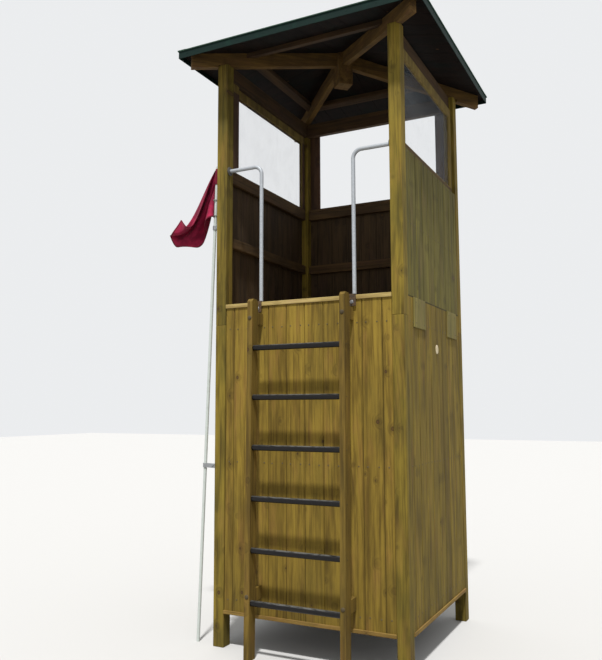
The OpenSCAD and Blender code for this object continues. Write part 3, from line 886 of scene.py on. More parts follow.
# %% Galvanised tube
FLANGE_IN = 0.586
ZINC_DARK = (176, 181, 186)
ZINC_LIGHT = (204, 208, 212)
ZINC_CLOUD = (150, 152, 150)
DULL_FLANGE = (62, 56, 48)


def galvanised():
    g = new_material("galvanised")
    texture = {"Vector": g.place(), "Scale": 150.0}
    value = g.split(g.node("ShaderNodeTexVoronoi", None, texture, "Color"))[0]
    dull = g.noise(g.place(), 9.0, 4.0)
    zinc = g.mix(value * 0.6, eye(*ZINC_DARK), eye(*ZINC_LIGHT))
    zinc = g.mix(g.smooth(dull, 0.45, 0.8) * 0.35, zinc, eye(*ZINC_CLOUD))
    by_the_post = g.smooth(abs(g.split(g.place())[0]), FLANGE_IN - 0.004, FLANGE_IN)
    zinc = g.mix(by_the_post * (0.60 + dull * 0.5), zinc, eye(*DULL_FLANGE))
    return g.finish(Base_Color=zinc, Roughness=0.40 + dull * 0.2, Metallic=0.22, Specular_IOR_Level=0.3)


finishes["galvanised"] = galvanised()
print("flanges start", FLANGE_IN, "m from the middle")

# %% [markdown]
# The rungs are dark coated tube, worn to grey where they are stepped on: on top, and
# more in the middle than at the ends. The surface normal tells what lies on top.

# %% Worn rungs
WORN_FROM = 0.12
WORN_TO = 0.30
COAT_DARK = (14, 13, 14)
COAT_LIGHT = (34, 29, 26)
BARE_STEEL = (136, 137, 134)


def worn_rung():
    g = new_material("worn_rung")
    sideways = g.split(g.place())[0]
    upward = g.split(g.node("ShaderNodeNewGeometry", None, None, "Normal"))[2]
    scratch = g.stretched(g.place(), (26.0, 160.0, 160.0), 4.0, 0.65)
    middle = 1 - g.smooth(abs(sideways), WORN_FROM, WORN_TO)
    wear = g.smooth(upward, 0.55, 0.98) * g.smooth(scratch, 0.34, 0.60) * (0.35 + middle * 0.5)
    coat = g.mix(g.smooth(scratch, 0.35, 0.75) * 0.6, eye(*COAT_DARK), eye(*COAT_LIGHT))
    coat = g.mix(wear, coat, eye(*BARE_STEEL))
    shine = 0.26 - wear * 0.02 + scratch * 0.10
    return g.finish(Base_Color=coat, Roughness=shine, Metallic=wear * 0.5, Specular_IOR_Level=0.25)


finishes["rung"] = worn_rung()
print("rungs are worn most within", WORN_FROM, "m of the middle")

# %% [markdown]
# The angle plates under the hand rails have begun to rust. Rust is rough and no longer
# metal, so the same mask that colours it also drives Roughness and Metallic.

# %% Rusty plates
STEEL = (66, 60, 52)
RUST = (104, 78, 48)
DARK_RUST = (78, 50, 30)


def rusty_plate():
    g = new_material("rusty_plate")
    rust = g.smooth(g.noise(g.place(), 60.0, 5.0, 0.65), 0.36, 0.62)
    fine = g.noise(g.place(), 420.0)
    plate = g.mix(rust, eye(*STEEL), eye(*RUST))
    plate = g.mix(g.smooth(fine, 0.5, 0.75) * 0.4, plate, eye(*DARK_RUST))
    relief = g.bump(rust * 0.4 + fine * 0.4, 0.4, 0.0008)
    shine = 0.5 + rust * 0.3
    return g.finish(Base_Color=plate, Roughness=shine, Metallic=0.5 - rust * 0.45, Normal=relief)


finishes["plate"] = rusty_plate()
print("plates rust from", STEEL, "to", RUST)

# %% [markdown]
# The clear sheets are thin, so a see-through colour with a gloss serves better than a
# solid block of glass, and salt dust makes them a little milky. The dust is noise, and
# the streaks in it are noise drawn out downwards, as rain leaves them.

# %% Clear sheets
SHEET_TINT = (196, 208, 220)
SHEET_ALPHA = 0.055


def clear_sheet():
    g = new_material("clear_acrylic")
    dust = g.noise(g.place(), 5.0, 5.0, 0.65)
    streak = g.stretched(g.place(), (60.0, 60.0, 4.0))
    milky = g.smooth(dust, 0.40, 0.80) * 0.045 + g.smooth(streak, 0.52, 0.8) * 0.03
    return g.finish(Base_Color=eye(*SHEET_TINT), Roughness=0.10 + dust * 0.12, Alpha=SHEET_ALPHA + milky)


finishes["clear"] = clear_sheet()
print("a clean sheet lets", 1 - SHEET_ALPHA, "of the light through")

# %% [markdown]
# What is left is painted or plated and gets the coated finish. Then each CAD node of
# metal, tube or sheet gets the finish that belongs to it.

# %% Finishes for the CAD metal
finishes["white_pole"] = coated("white_pole", (214, 221, 215), (180, 186, 177), 0.34)
finishes["zinc"] = coated("zinc_clip", (158, 160, 162), (130, 128, 124), 0.34, 0.7)
finishes["screws"] = coated("weathered_screw", (98, 88, 66), (70, 52, 34), 0.5, 0.3, 0.8)
finishes["old_bolt"] = coated("weathered_bolt", (78, 66, 42), (60, 46, 29), 0.6, 0.15, 0.8)
metal_of = {
    "galvanised": ["hand_rail_left", "hand_rail_right"],
    "rung": ["ladder_rungs"],
    "clear": ["window_sheets"],
    "plate": ["hand_rail_feet"],
    "white_pole": ["flag_pole"],
    "zinc": ["pole_clips"],
    "green_sheet": ["eave_strips", "hip_trims", "peak_cap"],
}
for finish, names in metal_of.items():
    for name in names:
        dress(name, finishes[finish])
print(sum(len(v) for v in metal_of.values()), "metal, sheet and pole nodes dressed")

# %% [markdown]
# ## Glazing beads
# A clear sheet is held in its frame by a thin bead on the outer side, mitred at the
# corners. A curve with a bevel profile could follow the opening, but its corners
# would be pinched. So a rounded section is carried round the four corners: a point of
# the section that lies further in from the edge moves in on both sides of the corner,
# which makes the mitres by itself.

# %% Beads
BEAD_WIDE = 0.012
BEAD_HIGH = 0.010
BEAD_SECTION = [
    (0.0, 0.0), (BEAD_WIDE, 0.0), (BEAD_WIDE, 0.35 * BEAD_HIGH),
    (0.72 * BEAD_WIDE, 0.8 * BEAD_HIGH), (0.35 * BEAD_WIDE, BEAD_HIGH), (0.0, BEAD_HIGH),
]


def closed_ring(solids, loops):
    """A solid whose section runs round through several loops and back to the first."""
    count, size = len(loops), len(loops[0])
    faces = []
    for k in range(count):
        a, b = k * size, (k + 1) % count * size
        faces += [(a + m, b + m, b + (m + 1) % size, a + (m + 1) % size) for m in range(size)]
    solids.add([p for loop in loops for p in loop], faces)


sheet_low, sheet_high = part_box("window_sheets")
glazing = Solids(81)
for side in (-1, 1):
    outer_x = side * sheet_high.x
    corners = [
        (sheet_low.y, sheet_low.z, 1, 1), (sheet_high.y, sheet_low.z, -1, 1),
        (sheet_high.y, sheet_high.z, -1, -1), (sheet_low.y, sheet_high.z, 1, -1),
    ]
    loops = []
    for y, z, in_y, in_z in corners:
        loops.append([(outer_x + side * up, y + in_y * wide, z + in_z * wide) for wide, up in BEAD_SECTION])
    closed_ring(glazing, loops)
glazing.make("glazing_beads", [finishes["window_timber"]])

# %% [markdown]
# ## Screws and bolts
# The photograph is too coarse to show single screws, but boards don't hold without
# them. Every head is a profile of radius and height, turned round its axis. A Screw
# modifier turns a profile too, but one at a time, and here are hundreds of them. A
# recess in the middle of a screw takes only two more points of the profile.

# %% Heads
SCREW = [
    (0, -0.002), (0.0045, -0.002), (0.0045, 0.0006), (0.0036, 0.0015),
    (0.0016, 0.0017), (0.0011, 0.0006), (0, 0.0005),
]
SMALL = [(0, -0.001), (0.0035, -0.001), (0.0035, 0.0006), (0.0026, 0.0016), (0, 0.0020)]
DOMED = [(0, -0.002), (0.0135, -0.002), (0.0135, 0.001), (0.0118, 0.0036), (0.0075, 0.0058), (0, 0.0066)]
WASHER = [(0, -0.001), (0.012, -0.001), (0.012, 0.0016), (0.0112, 0.0022), (0, 0.0022)]
HEXAGON = [(0, 0.0018), (0.0088, 0.0018), (0.0088, 0.0068), (0.0072, 0.0082), (0, 0.0082)]
LARGE_SIDES = 20
SMALL_SIDES = 10
SCREW_SIDES = 8


def turned(solids, profile, at, axis, sides, mark=0):
    """A profile of (radius, height) turned round an axis. It starts and ends on the axis."""
    turn = Vector(axis).to_track_quat("Z", "Y").to_matrix()
    rings = profile[1:-1]
    points = [Vector(at) + turn @ Vector((0, 0, profile[0][1]))]
    for radius, height in rings:
        for k in range(sides):
            a = math.tau * k / sides
            spot = Vector((radius * math.cos(a), radius * math.sin(a), height))
            points.append(Vector(at) + turn @ spot)
    points.append(Vector(at) + turn @ Vector((0, 0, profile[-1][1])))
    top = 1 + (len(rings) - 1) * sides
    faces = [(0, 1 + (k + 1) % sides, 1 + k) for k in range(sides)]
    for a in range(1, top, sides):
        b = a + sides
        faces += [(a + k, a + (k + 1) % sides, b + (k + 1) % sides, b + k) for k in range(sides)]
    faces += [(top + k, top + (k + 1) % sides, len(points) - 1) for k in range(sides)]
    solids.add(points, faces, marks=[mark] * len(faces))


def hex_bolt(solids, at, axis):
    turned(solids, WASHER, at, axis, LARGE_SIDES)
    turned(solids, HEXAGON, at, axis, 6)


print("five kinds of heads, from", 2 * SMALL[1][0], "to", 2 * DOMED[1][0], "m across")

# %% [markdown]
# The wall boards have two screws at each rail behind them, the half boards at the
# ends only one. Nobody drives screws in a perfect row, so each is a few millimetres
# off. The heads stand just proud of the wood.

# %% Wall screws
RAIL_HEIGHTS = (0.310, 1.194, 2.077)
WAIST_RAIL_HEIGHTS = (2.705, 3.160)
SCREW_IN = 0.030
SCREW_OFF = 0.006
NARROW_BOARD = 0.1

screws = Solids(91)
for node, (edges, outer, outward, runs_x) in wall_boards.items():
    axis = (0, outward, 0) if runs_x else (outward, 0, 0)
    for a, b in zip(edges, edges[1:]):
        spots = ((a + b) / 2,) if b - a < NARROW_BOARD else (a + SCREW_IN, b - SCREW_IN)
        for u in spots:
            for z in WAIST_RAIL_HEIGHTS if "waist" in node else RAIL_HEIGHTS:
                jog = (screws.random.random() - 0.5) * SCREW_OFF
                at = (u + jog, outer, z + jog) if runs_x else (outer, u + jog, z + jog)
                turned(screws, SCREW, at, axis, SCREW_SIDES)
print("wall screws have", len(screws.faces), "faces")

# %% [markdown]
# The floor planks are screwed to the four joists, the cleats to both boardings, and
# the window frames to the studs behind them. The boxes of the CAD nodes say where the
# wood is, so that each head lies on it.

# %% Floor, cleat and window screws
JOISTS = 4
JOIST_HALF = 0.0225
PLANK_SCREW = 0.03
CLEAT_MIDDLE = 0.38
CLEAT_SCREW_Y = 0.08
CLEAT_SCREW_IN = 0.03
FRAME_SCREWS_Y = (-0.56, 0.572)
FRAME_SCREWS_Z = (3.26, 3.52, 3.83)

joist_low, joist_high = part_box("floor_joists")
joist_span = joist_high.x - joist_low.x - 2 * JOIST_HALF
for a, b in zip(plank_edges, plank_edges[1:]):
    for k in range(JOISTS):
        x = joist_low.x + JOIST_HALF + k * joist_span / (JOISTS - 1)
        for off in (-PLANK_SCREW, PLANK_SCREW):
            turned(screws, SCREW, (x, (a + b) / 2 + off, floor_high.z), (0, 0, 1), SCREW_SIDES)
cleat_low, cleat_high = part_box("seam_cleats")
for side in (-1, 1):
    for middle in (-CLEAT_MIDDLE, CLEAT_MIDDLE):
        for y in (middle - CLEAT_SCREW_Y, middle + CLEAT_SCREW_Y):
            for z in (cleat_low.z + CLEAT_SCREW_IN, cleat_high.z - CLEAT_SCREW_IN):
                turned(screws, SCREW, (side * cleat_high.x, y, z), (side, 0, 0), SCREW_SIDES)
frame_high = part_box("window_frame_right")[1]
for side in (-1, 1):
    spots = [(y, z) for y in FRAME_SCREWS_Y for z in FRAME_SCREWS_Z] + [(0, FRAME_SCREWS_Z[-1])]
    for y, z in spots:
        turned(screws, SCREW, (side * frame_high.x, y, z), (side, 0, 0), SCREW_SIDES)
screws.make("wood_screws", [finishes["screws"]])

# %% [markdown]
# ## Ladder, rail and pole fixings
# Where a tube is welded to a plate or flange, a small rounded bead runs round it,
# rippled as a welder leaves it. A torus would be too even, so its thickness follows a
# slow sine on the way round.

# %% Weld beads
RIPPLE = 0.12
RIPPLES = 7
WELD_STEPS = 24
WELD_SIDES = 6


def weld_bead(solids, at, axis, radius, thick):
    """A small round bead laid round a tube."""
    turn = Vector(axis).to_track_quat("Z", "Y").to_matrix()
    loops = []
    for k in range(WELD_STEPS):
        a = math.tau * k / WELD_STEPS
        ripple = 1 + RIPPLE * math.sin(RIPPLES * a)
        loop = []
        for m in range(WELD_SIDES):
            b = math.tau * m / WELD_SIDES
            reach = radius + thick * ripple * math.cos(b)
            height = thick * ripple * math.sin(b)
            loop.append(Vector(at) + turn @ Vector((reach * math.cos(a), reach * math.sin(a), height)))
        loops.append(loop)
    closed_ring(solids, loops)


print("a weld has", WELD_STEPS * WELD_SIDES, "faces")

# %% [markdown]
# The ladder is held by dome-headed bolts through its spacers, and each rung by a pin
# in either rail. They are old and brown, so their faces are marked for the second
# finish. The ladder leans, so the place of its middle plane is worked out for each
# height, and the bolt's axis leans with it. The boxes of the CAD nodes give the rest.

# %% Ladder bolts and pins
LADDER_TOP_Y = -0.771
LADDER_LEAN = 0.030
RAIL_HALF_DEEP = 0.039
RUNGS = 6
RUNG_RADIUS = 0.018
RUNG_SET = 0.013
LADDER_BOLT_HEIGHTS = (0.385, 2.130)
OLD = 1

rail_low, rail_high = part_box("ladder_rail_right")
rung_low, rung_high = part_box("ladder_rungs")
rung_pitch = (rung_high.z - rung_low.z - 2 * RUNG_RADIUS) / (RUNGS - 1)


def ladder_y(z):
    """Middle plane of the leaning ladder at a height."""
    return LADDER_TOP_Y - LADDER_LEAN * (PLATFORM_Z - z) / PLATFORM_Z


def ladder_fixings(solids, side):
    for z in LADDER_BOLT_HEIGHTS:
        at = (side * (rail_low.x + rail_high.x) / 2, ladder_y(z) - RAIL_HALF_DEEP, z)
        turned(solids, DOMED, at, (0, -1, -LADDER_LEAN / PLATFORM_Z), LARGE_SIDES, OLD)
    for rung in range(RUNGS):
        z = rung_high.z - RUNG_RADIUS - rung_pitch * rung
        at = (side * rail_high.x, ladder_y(z) - RUNG_SET, z)
        turned(solids, SMALL, at, (side, 0, 0), SMALL_SIDES, OLD)


print("rungs", round(rung_pitch, 3), "m apart, the ladder's foot", LADDER_LEAN, "m further out")

# %% [markdown]
# Each hand rail stands on an angle plate, which one large bolt holds to the wall and
# two screws to the floor, and ends at the post in a flange with four screws. The clips
# of the pole have a bolt each. New plated bolts and old brown ones are one piece with
# two finishes, told apart by the mark of their faces.

# %% Hand rail and pole fixings
TUBE_RADIUS = 0.013
FLANGE_RADIUS = 0.030
FLANGE_THICK = 0.006
FLANGE_SCREW_OUT = 0.0215
WELD_THICK = 0.0022
FOOT_BOLT_Z = 2.205
FOOT_SCREW_X = 0.019
FOOT_SCREW_IN = 0.012
CLIP_BOLTS = ((-0.712, 1.164), (-0.687, 2.806))
CLIP_FRONT_Y = -0.646

fixings = Solids(92)
welds = Solids(93)
foot_low, foot_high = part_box("hand_rail_feet")
tube_low, tube_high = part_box("hand_rail_right")
tube_x = tube_low.x + TUBE_RADIUS
tube_y = (tube_low.y + tube_high.y) / 2
for side in (-1, 1):
    ladder_fixings(fixings, side)
    hex_bolt(fixings, (side * tube_x, foot_low.y, FOOT_BOLT_Z), (0, -1, 0))
    for x in (-FOOT_SCREW_X, FOOT_SCREW_X):
        at = (side * tube_x + x, foot_low.y + FOOT_SCREW_IN, foot_high.z)
        turned(fixings, SMALL, at, (0, 0, 1), SMALL_SIDES, OLD)
    flange = Vector((side * (tube_high.x - FLANGE_THICK), tube_y, tube_high.z - FLANGE_RADIUS))
    for k in range(4):
        a = math.radians(45 + 90 * k)
        off = Vector((0, math.cos(a), math.sin(a))) * FLANGE_SCREW_OUT
        turned(fixings, SMALL, flange + off, (-side, 0, 0), SMALL_SIDES, OLD)
    weld_bead(welds, flange, (1, 0, 0), TUBE_RADIUS, WELD_THICK)
    weld_bead(welds, (side * tube_x, tube_y, foot_high.z), (0, 0, 1), TUBE_RADIUS, WELD_THICK)
for x, z in CLIP_BOLTS:
    hex_bolt(fixings, (x, CLIP_FRONT_Y, z), (0, -1, 0))
fixings.make("bolts", [finishes["zinc"], finishes["old_bolt"]])
welds.make("weld_beads", [finishes["galvanised"]], True)

# %% [markdown]
# The green edge strips and hip trims are nailed every 0.2 m with the small dome-headed
# nails that roofers use. Those on the trims stand square to the slope, so the axis
# leans outwards by the roof's pitch.

# %% Roofing nails
NAIL_STEP = 0.2
STRIP_NAIL_Z = 4.006
STRIP_NAILS = range(-4, 5)
TRIM_THICK = 0.002
TRIM_TOP = PEAK_TOP + (COVER_THICK + TRIM_THICK) / math.cos(ROOF_PITCH)
TRIM_NAILS = [0.115 + k * 0.175 for k in range(5)]
NAIL_OFF_HIP = 0.046

nails = Solids(94)
strip_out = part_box("eave_strips")[1].x
for quarter in range(4):
    for k in STRIP_NAILS:
        at, axis = quarter_turns([(k * NAIL_STEP, -strip_out, STRIP_NAIL_Z), (0, -1, 0)], quarter)
        turned(nails, SMALL, at, axis, SCREW_SIDES)
    for far in TRIM_NAILS:
        for side in (-1, 1):
            x = side * (far - NAIL_OFF_HIP)
            at, axis = quarter_turns([(x, -far, TRIM_TOP - far * FALL), (0, -FALL, 1)], quarter)
            turned(nails, SMALL, at, axis, SCREW_SIDES)
nails.make("roofing_nails", [finishes["green_sheet"]])

# %% [markdown]
# ## A pale plug
# Halfway along the right wall, under the seam, there is one pale round spot, 62 mm
# wide. A painted spot could do, but its edge catches the light, so it is made as a
# turned plug of bare wood let into the boards, proud by a little more than a
# millimetre, with a rounded edge.

# %% Plug
PLUG_AT = (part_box("right_wall")[1].x, 0.012, 1.942)
PLUG = [(0, -0.004), (0.031, -0.004), (0.031, 0.0002), (0.0295, 0.0014), (0.020, 0.0018), (0, 0.0020)]
PLUG_SIDES = 40

plug = Solids(95)
turned(plug, PLUG, PLUG_AT, (1, 0, 0), PLUG_SIDES)
plug.make("pale_plug", [finishes["bare_wood"]])

# %% [markdown]
# ## The flag
# The flag is a small red cloth, about 0.35 m on the hoist and 0.50 m on the fly. It
# hangs in a light breeze from the front: the upper edge drops steeply from the top of
# the pole, and the fly end is carried out to the left and curls under. Folds like
# that are hard to model by hand, so the cloth is simulated: a grid of points that
# keep their distances, with gravity and a breeze that presses on each bit of cloth
# from the side it faces. Blender's Cloth modifier could do it, but a few lines of
# numpy give the same result on every run.

# %% Cloth points
HOIST = 0.35
FLY = 0.50
CLOTH_STEP = 0.0125
POLE_FOOT = np.array((-0.820, -0.635, 0.0))
POLE_LEAN = math.radians(2.1355)
POLE_UP = np.array((math.sin(POLE_LEAN), 0.0, math.cos(POLE_LEAN)))
POLE_OUT = np.array((-math.cos(POLE_LEAN), 0.0, math.sin(POLE_LEAN)))
POLE_RADIUS = 0.011
HOIST_TOP_Z = 3.229
HOIST_OUT = 0.0122
HOIST_ROWS = round(HOIST / CLOTH_STEP) + 1
FLY_COLUMNS = round(FLY / CLOTH_STEP) + 1


def on_pole(drop):
    """Points of the pole's middle line, given how far below the flag's top they are."""
    return POLE_FOOT + np.multiply.outer(HOIST_TOP_Z / math.cos(POLE_LEAN) - drop, POLE_UP)


drops = np.linspace(0, HOIST, HOIST_ROWS)
outs = HOIST_OUT + np.linspace(0, FLY, FLY_COLUMNS)
cloth = on_pole(drops)[:, None] + outs[None, :, None] * POLE_OUT
print("cloth of", cloth.shape[0], "by", cloth.shape[1], "points")

# %% [markdown]
# Two neighbouring points may not move apart, or the cloth would stretch like rubber.
# Points two steps apart may come nearer, but they push back weakly, which stands for
# the stiffness of the weave. Taking the pairs in turns, so that no point is in two
# pairs at once, lets numpy treat a whole turn in one go.

# %% Cloth threads
THREADS = (
    ((0, 1), 1.0), ((1, 0), 1.0), ((1, 1), 0.6), ((1, -1), 0.6),
    ((0, 2), 0.05), ((2, 0), 0.05), ((0, 4), 0.02), ((4, 0), 0.02),
)


def thread_turns(rows, columns):
    for (down, out), stiff in THREADS:
        apart = max(down, abs(out))
        rest = CLOTH_STEP * math.hypot(down, out)
        for start in range(2 * apart):
            if down:
                i = np.arange(start, rows - down, 2 * apart)
                j = np.arange(max(0, -out), columns - max(0, out))
            else:
                i = np.arange(rows)
                j = np.arange(start, columns - out, 2 * apart)
            yield np.ix_(i, j), np.ix_(i + down, j + out), rest, stiff, apart > 1


threads = list(thread_turns(HOIST_ROWS, FLY_COLUMNS))
print(len(threads), "turns of threads")

# %% [markdown]
# Each turn moves the two points of a pair by half of what their distance is wrong, or
# one point by all of it where the other is held. After that, points that have come
# into the pole are set back outside it.

# %% Tighten the threads
CLOTH_OFF_POLE = HOIST_OUT + 0.004
TINY = 1e-9


def lengths(vectors):
    return np.linalg.norm(vectors, axis=2, keepdims=True)


def tighten(place, free):
    """Pull each pair of points to its distance. Long pairs only push."""
    for first, second, rest, stiff, only_push in threads:
        gap = place[second] - place[first]
        length = lengths(gap)
        loose = free[first] + free[second]
        share = stiff * (length - rest) / np.maximum(length * loose, TINY) * (loose > 0)
        share = np.minimum(share, 0) if only_push else share
        place[first] += free[first] * share * gap
        place[second] -= free[second] * share * gap


def clear_of_pole(place, free):
    height = (place - POLE_FOOT) @ POLE_UP
    middle = POLE_FOOT + height[..., None] * POLE_UP
    off = place - middle
    far = lengths(off)
    outside = middle + off / np.maximum(far, TINY) * CLOTH_OFF_POLE
    return np.where((far < CLOTH_OFF_POLE) & (free > 0), outside, place)


print("free cloth stays", round(CLOTH_OFF_POLE, 4), "m from the pole's middle")

# %% [markdown]
# The air pushes a bit of cloth along its normal, by the square of how fast it meets
# it, and drags it along a little. Two waves run through the breeze, one for gusts and
# one for swirls to the side. Their three rates are turns in a second, over the fly
# and down the hoist.

# %% Breeze
BREEZE = np.array((-0.35, 0.0, 0.1))
GUST = 0.35
GUST_RATES = (1.3, -1.1, 0.35)
SWIRL = 0.2
SWIRL_RATES = (0.9, -1.4, -0.5)
SWIRL_UP = 0.3
AIR_PUSH = 1.2
AIR_DRAG = 0.02
down_share = np.linspace(0, 1, HOIST_ROWS)[:, None]
out_share = np.linspace(0, 1, FLY_COLUMNS)[None]


def phase(rates, seconds):
    return math.tau * (rates[0] * seconds + rates[1] * out_share + rates[2] * down_share)


def push_of_air(cloth, speed, seconds):
    """Force of the breeze on each point of the cloth."""
    normal = np.cross(np.gradient(cloth, axis=1), np.gradient(cloth, axis=0))
    normal /= np.maximum(lengths(normal), TINY)
    gusty = 1 + GUST * np.sin(phase(GUST_RATES, seconds))
    swirl = SWIRL * np.cos(phase(SWIRL_RATES, seconds))
    air = BREEZE * gusty[..., None] + np.stack((0 * swirl, swirl, SWIRL_UP * swirl), axis=2) - speed
    square_on = np.sum(air * normal, axis=2, keepdims=True)
    return AIR_PUSH * square_on * np.abs(square_on) * normal + AIR_DRAG * air


print("the breeze moves", abs(BREEZE[0]), "m/s to the left")

# %% [markdown]
# Now the cloth moves for one second and a quarter. Three points of the fly are led
# slowly to where the breeze has carried them in the picture, and the cloth between
# them falls as it likes. The hoist stays on the pole.

# %% Let the cloth move
CLOTH_WEIGHT = 0.12
GRAVITY = (0, 0, -9.81)
TIME_STEP = 1 / 120
MOMENTS = 150
LED_FOR = 0.55
ROUNDS = 10
CALMING = 0.995
TOP_SPEED = 4.0
LED_POINTS = {
    (0, -1): (-0.968, -0.690, 2.886),
    (14, -1): (-1.088, -0.660, 2.788),
    (-1, -1): (-1.035, -0.560, 2.760),
}

free = np.ones(cloth.shape[:2] + (1,))
free[:, 0] = 0
led_from = {point: cloth[point].copy() for point in LED_POINTS}
for point in LED_POINTS:
    free[point] = 0
speed = np.zeros_like(cloth)
for moment in range(MOMENTS):
    force = push_of_air(cloth, speed, moment * TIME_STEP)
    speed = (speed + (force / CLOTH_WEIGHT + GRAVITY) * TIME_STEP) * CALMING
    moved = cloth + speed * TIME_STEP * free
    led = min(1.0, moment / (LED_FOR * MOMENTS))
    led = led * led * (3 - 2 * led)
    for point, end in LED_POINTS.items():
        moved[point] = led_from[point] + (end - led_from[point]) * led
    for _ in range(ROUNDS):
        tighten(moved, free)
        moved = clear_of_pole(moved, free)
    speed = (moved - cloth) / TIME_STEP
    speed *= np.minimum(1, TOP_SPEED / np.maximum(lengths(speed), TINY))
    cloth = moved
print("flag hangs from", cloth.min((0, 1)).round(3), "to", cloth.max((0, 1)).round(3))

# %% [markdown]
# The cloth is a plain weave of crimson yarn, faded in patches. Two numbers at each
# point, how far it lies from the hoist and from the upper edge, let the material draw
# the weave, the hem and its stitches where they belong. A UV map could carry the same
# two numbers, but named attributes say what they are.

# %% Crimson cloth
HEM_WIDE = 0.014
STITCHES = 1400.0
YARNS = 3900.0
CRIMSON = (116, 3, 44)
FADED_CRIMSON = (196, 38, 82)
HEM_CRIMSON = (114, 6, 40)
STITCH_RED = (206, 78, 104)


def flag_material():
    g = new_material("crimson_cloth")
    out = g.attribute("out")
    down = g.attribute("down")
    short_way = g.math("MINIMUM", down, HOIST - down)
    edge = g.math("MINIMUM", short_way, g.math("MINIMUM", out, FLY - out))
    seam = 1 - g.smooth(abs(edge - HEM_WIDE), 0.0006, 0.0016)
    dashes = g.math("SINE", (out + down) * STITCHES) * 0.5 + 0.5
    weave = g.math("SINE", out * YARNS) * g.math("SINE", down * YARNS)
    faded = g.noise(g.place(), 7.0, 4.0)
    cloth_red = g.mix(g.smooth(faded, 0.35, 0.75), eye(*CRIMSON), eye(*FADED_CRIMSON))
    cloth_red = g.mix(1 - g.smooth(edge, 0.010, HEM_WIDE), cloth_red, eye(*HEM_CRIMSON))
    cloth_red = g.mix(seam * dashes * 0.7, cloth_red, eye(*STITCH_RED))
    relief = g.bump(weave * 0.5 - seam, 0.3, 0.0006)
    shine = 0.72 + faded * 0.12
    soft = {"Sheen_Weight": 0.06, "Specular_IOR_Level": 0.25}
    return g.finish(Base_Color=cloth_red, Roughness=shine, Normal=relief, **soft)


finishes["cloth"] = flag_material()
print("a stitch every", round(1000 * math.tau / STITCHES, 1), "mm")

# %% [markdown]
# The upper third of the hoist is a sewn pocket that slips over the end of the pole.
# Below it the pole shows beside the cloth. The simulated points and the ring of the
# pocket become one mesh.

# %% Flag mesh
POCKET_RADIUS = 0.0134
POCKET_STEPS = 12
POCKET_ROWS = 10
POCKET_SEAM = 0.96


def strip(index):
    """Faces between neighbouring rows and columns of a table of point numbers."""
    corners = (index[:-1, :-1], index[1:, :-1], index[1:, 1:], index[:-1, 1:])
    return np.stack([corner.ravel() for corner in corners], axis=1).tolist()


index = np.arange(cloth[..., 0].size).reshape(HOIST_ROWS, FLY_COLUMNS)
ring = index.size + np.arange(POCKET_ROWS * POCKET_STEPS).reshape(POCKET_ROWS, POCKET_STEPS)
turns = math.tau * np.linspace(POCKET_SEAM, 1 / POCKET_STEPS, POCKET_STEPS)
pocket = POCKET_RADIUS * (np.outer(np.cos(turns), POLE_OUT) + np.outer(np.sin(turns), (0, 1, 0)))
pocket = on_pole(drops[:POCKET_ROWS])[:, None] + pocket[None]
flag_faces = strip(index) + strip(np.concatenate((ring, index[:POCKET_ROWS, :1]), axis=1))
flag_points = np.concatenate((cloth.reshape(-1, 3), pocket.reshape(-1, 3)))
flag_mesh = bpy.data.meshes.new("flag_cloth")
flag_mesh.from_pydata(flag_points.tolist(), [], flag_faces)
out_m = np.concatenate((np.tile(np.linspace(0, FLY, FLY_COLUMNS), HOIST_ROWS), np.zeros(ring.size)))
down_m = np.concatenate((np.repeat(drops, FLY_COLUMNS), np.repeat(drops[:POCKET_ROWS], POCKET_STEPS)))
for name, values in (("out", out_m), ("down", down_m)):
    flag_mesh.attributes.new(name, "FLOAT", "POINT").data.foreach_set("value", values)
flag_mesh.polygons.foreach_set("use_smooth", [True] * len(flag_faces))
flag_mesh.materials.append(finishes["cloth"])
print("flag of", len(flag_points), "points and", len(flag_faces), "faces")

# %% [markdown]
# One subdivision rounds the folds, and Solidify gives the cloth its thickness. A
# vertex group tells it where the cloth is folded over for a hem, which is twice as
# thick and more.

# %% Thickness of the cloth
CLOTH_THICK = 0.0016
SINGLE_LAYER = 0.45

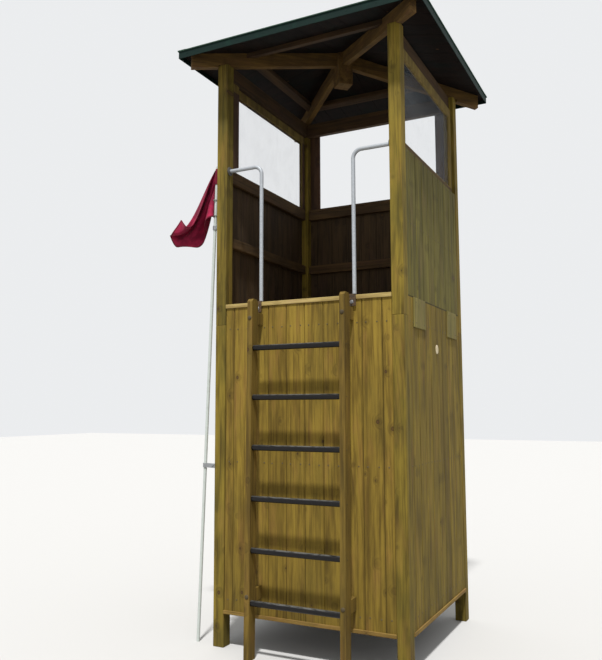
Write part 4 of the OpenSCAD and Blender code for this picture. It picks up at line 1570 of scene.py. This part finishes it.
flag = put("flag_cloth", flag_mesh)
hem_group = flag.vertex_groups.new(name="hem")
edge_m = np.minimum(np.minimum(down_m, HOIST - down_m), np.minimum(out_m, FLY - out_m))
for point, edge in enumerate(edge_m):
    hem_group.add([point], 1.0 if edge < HEM_WIDE else SINGLE_LAYER, "REPLACE")
rounder = flag.modifiers.new("rounder", "SUBSURF")
rounder.levels = 1
rounder.render_levels = 1
thick = flag.modifiers.new("thick", "SOLIDIFY")
thick.thickness = CLOTH_THICK
thick.offset = 0.0
thick.vertex_group = "hem"
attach(flag, "root")
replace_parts(flag, "flag")
print("hems are", CLOTH_THICK, "m thick, the cloth", round(CLOTH_THICK * SINGLE_LAYER, 5), "m")

# %% [markdown]
# Under the pocket the hoist is tied to the pole in two places. Each tie is a loop of
# thin cord, two turns of it, that goes round the pole and through a metal eyelet in
# the hem, with a knot in front. A turn of cord is a closed ring. Its middle lies
# between pole and eyelet, so that it touches the one and passes the other. The weld
# bead has just this form, so it is used again.

# %% Ties
TIE_ROWS = (18, 27)
CORD_THICK = 0.003
EYELET_IN = 0.8
EYELET_RADIUS = 0.0052
EYELET_THICK = 0.0013
KNOT = [(0.0, -0.005), (0.0034, -0.004), (0.0052, 0.0), (0.0034, 0.004), (0.0, 0.005)]
KNOT_LIES = (1.0, 0.3, 0.4)
KNOT_SIDES = 12

ties = Solids(71)
for row in TIE_ROWS:
    at = on_pole(drops[row])
    eyelet = cloth[row, 0] + (cloth[row, 1] - cloth[row, 0]) * EYELET_IN
    reach = np.linalg.norm(eyelet - at)
    radius = (reach + POLE_RADIUS + CORD_THICK / 2) / 2
    middle = at + (eyelet - at) * (1 - radius / reach)
    for turn in (-0.5, 0.5):
        weld_bead(ties, middle + POLE_UP * turn * CORD_THICK, POLE_UP, radius, CORD_THICK / 2)
    square_to_cloth = np.cross(cloth[row, 1] - cloth[row, 0], POLE_UP)
    weld_bead(ties, eyelet, square_to_cloth, EYELET_RADIUS, EYELET_THICK)
    turned(ties, KNOT, middle + np.array((0.0, -radius, 0.0)), KNOT_LIES, KNOT_SIDES)
finishes["cord"] = coated("grey_cord", (150, 156, 148), (112, 116, 104), 0.8)
flag_ties = ties.make("flag_ties", [finishes["cord"]], True)
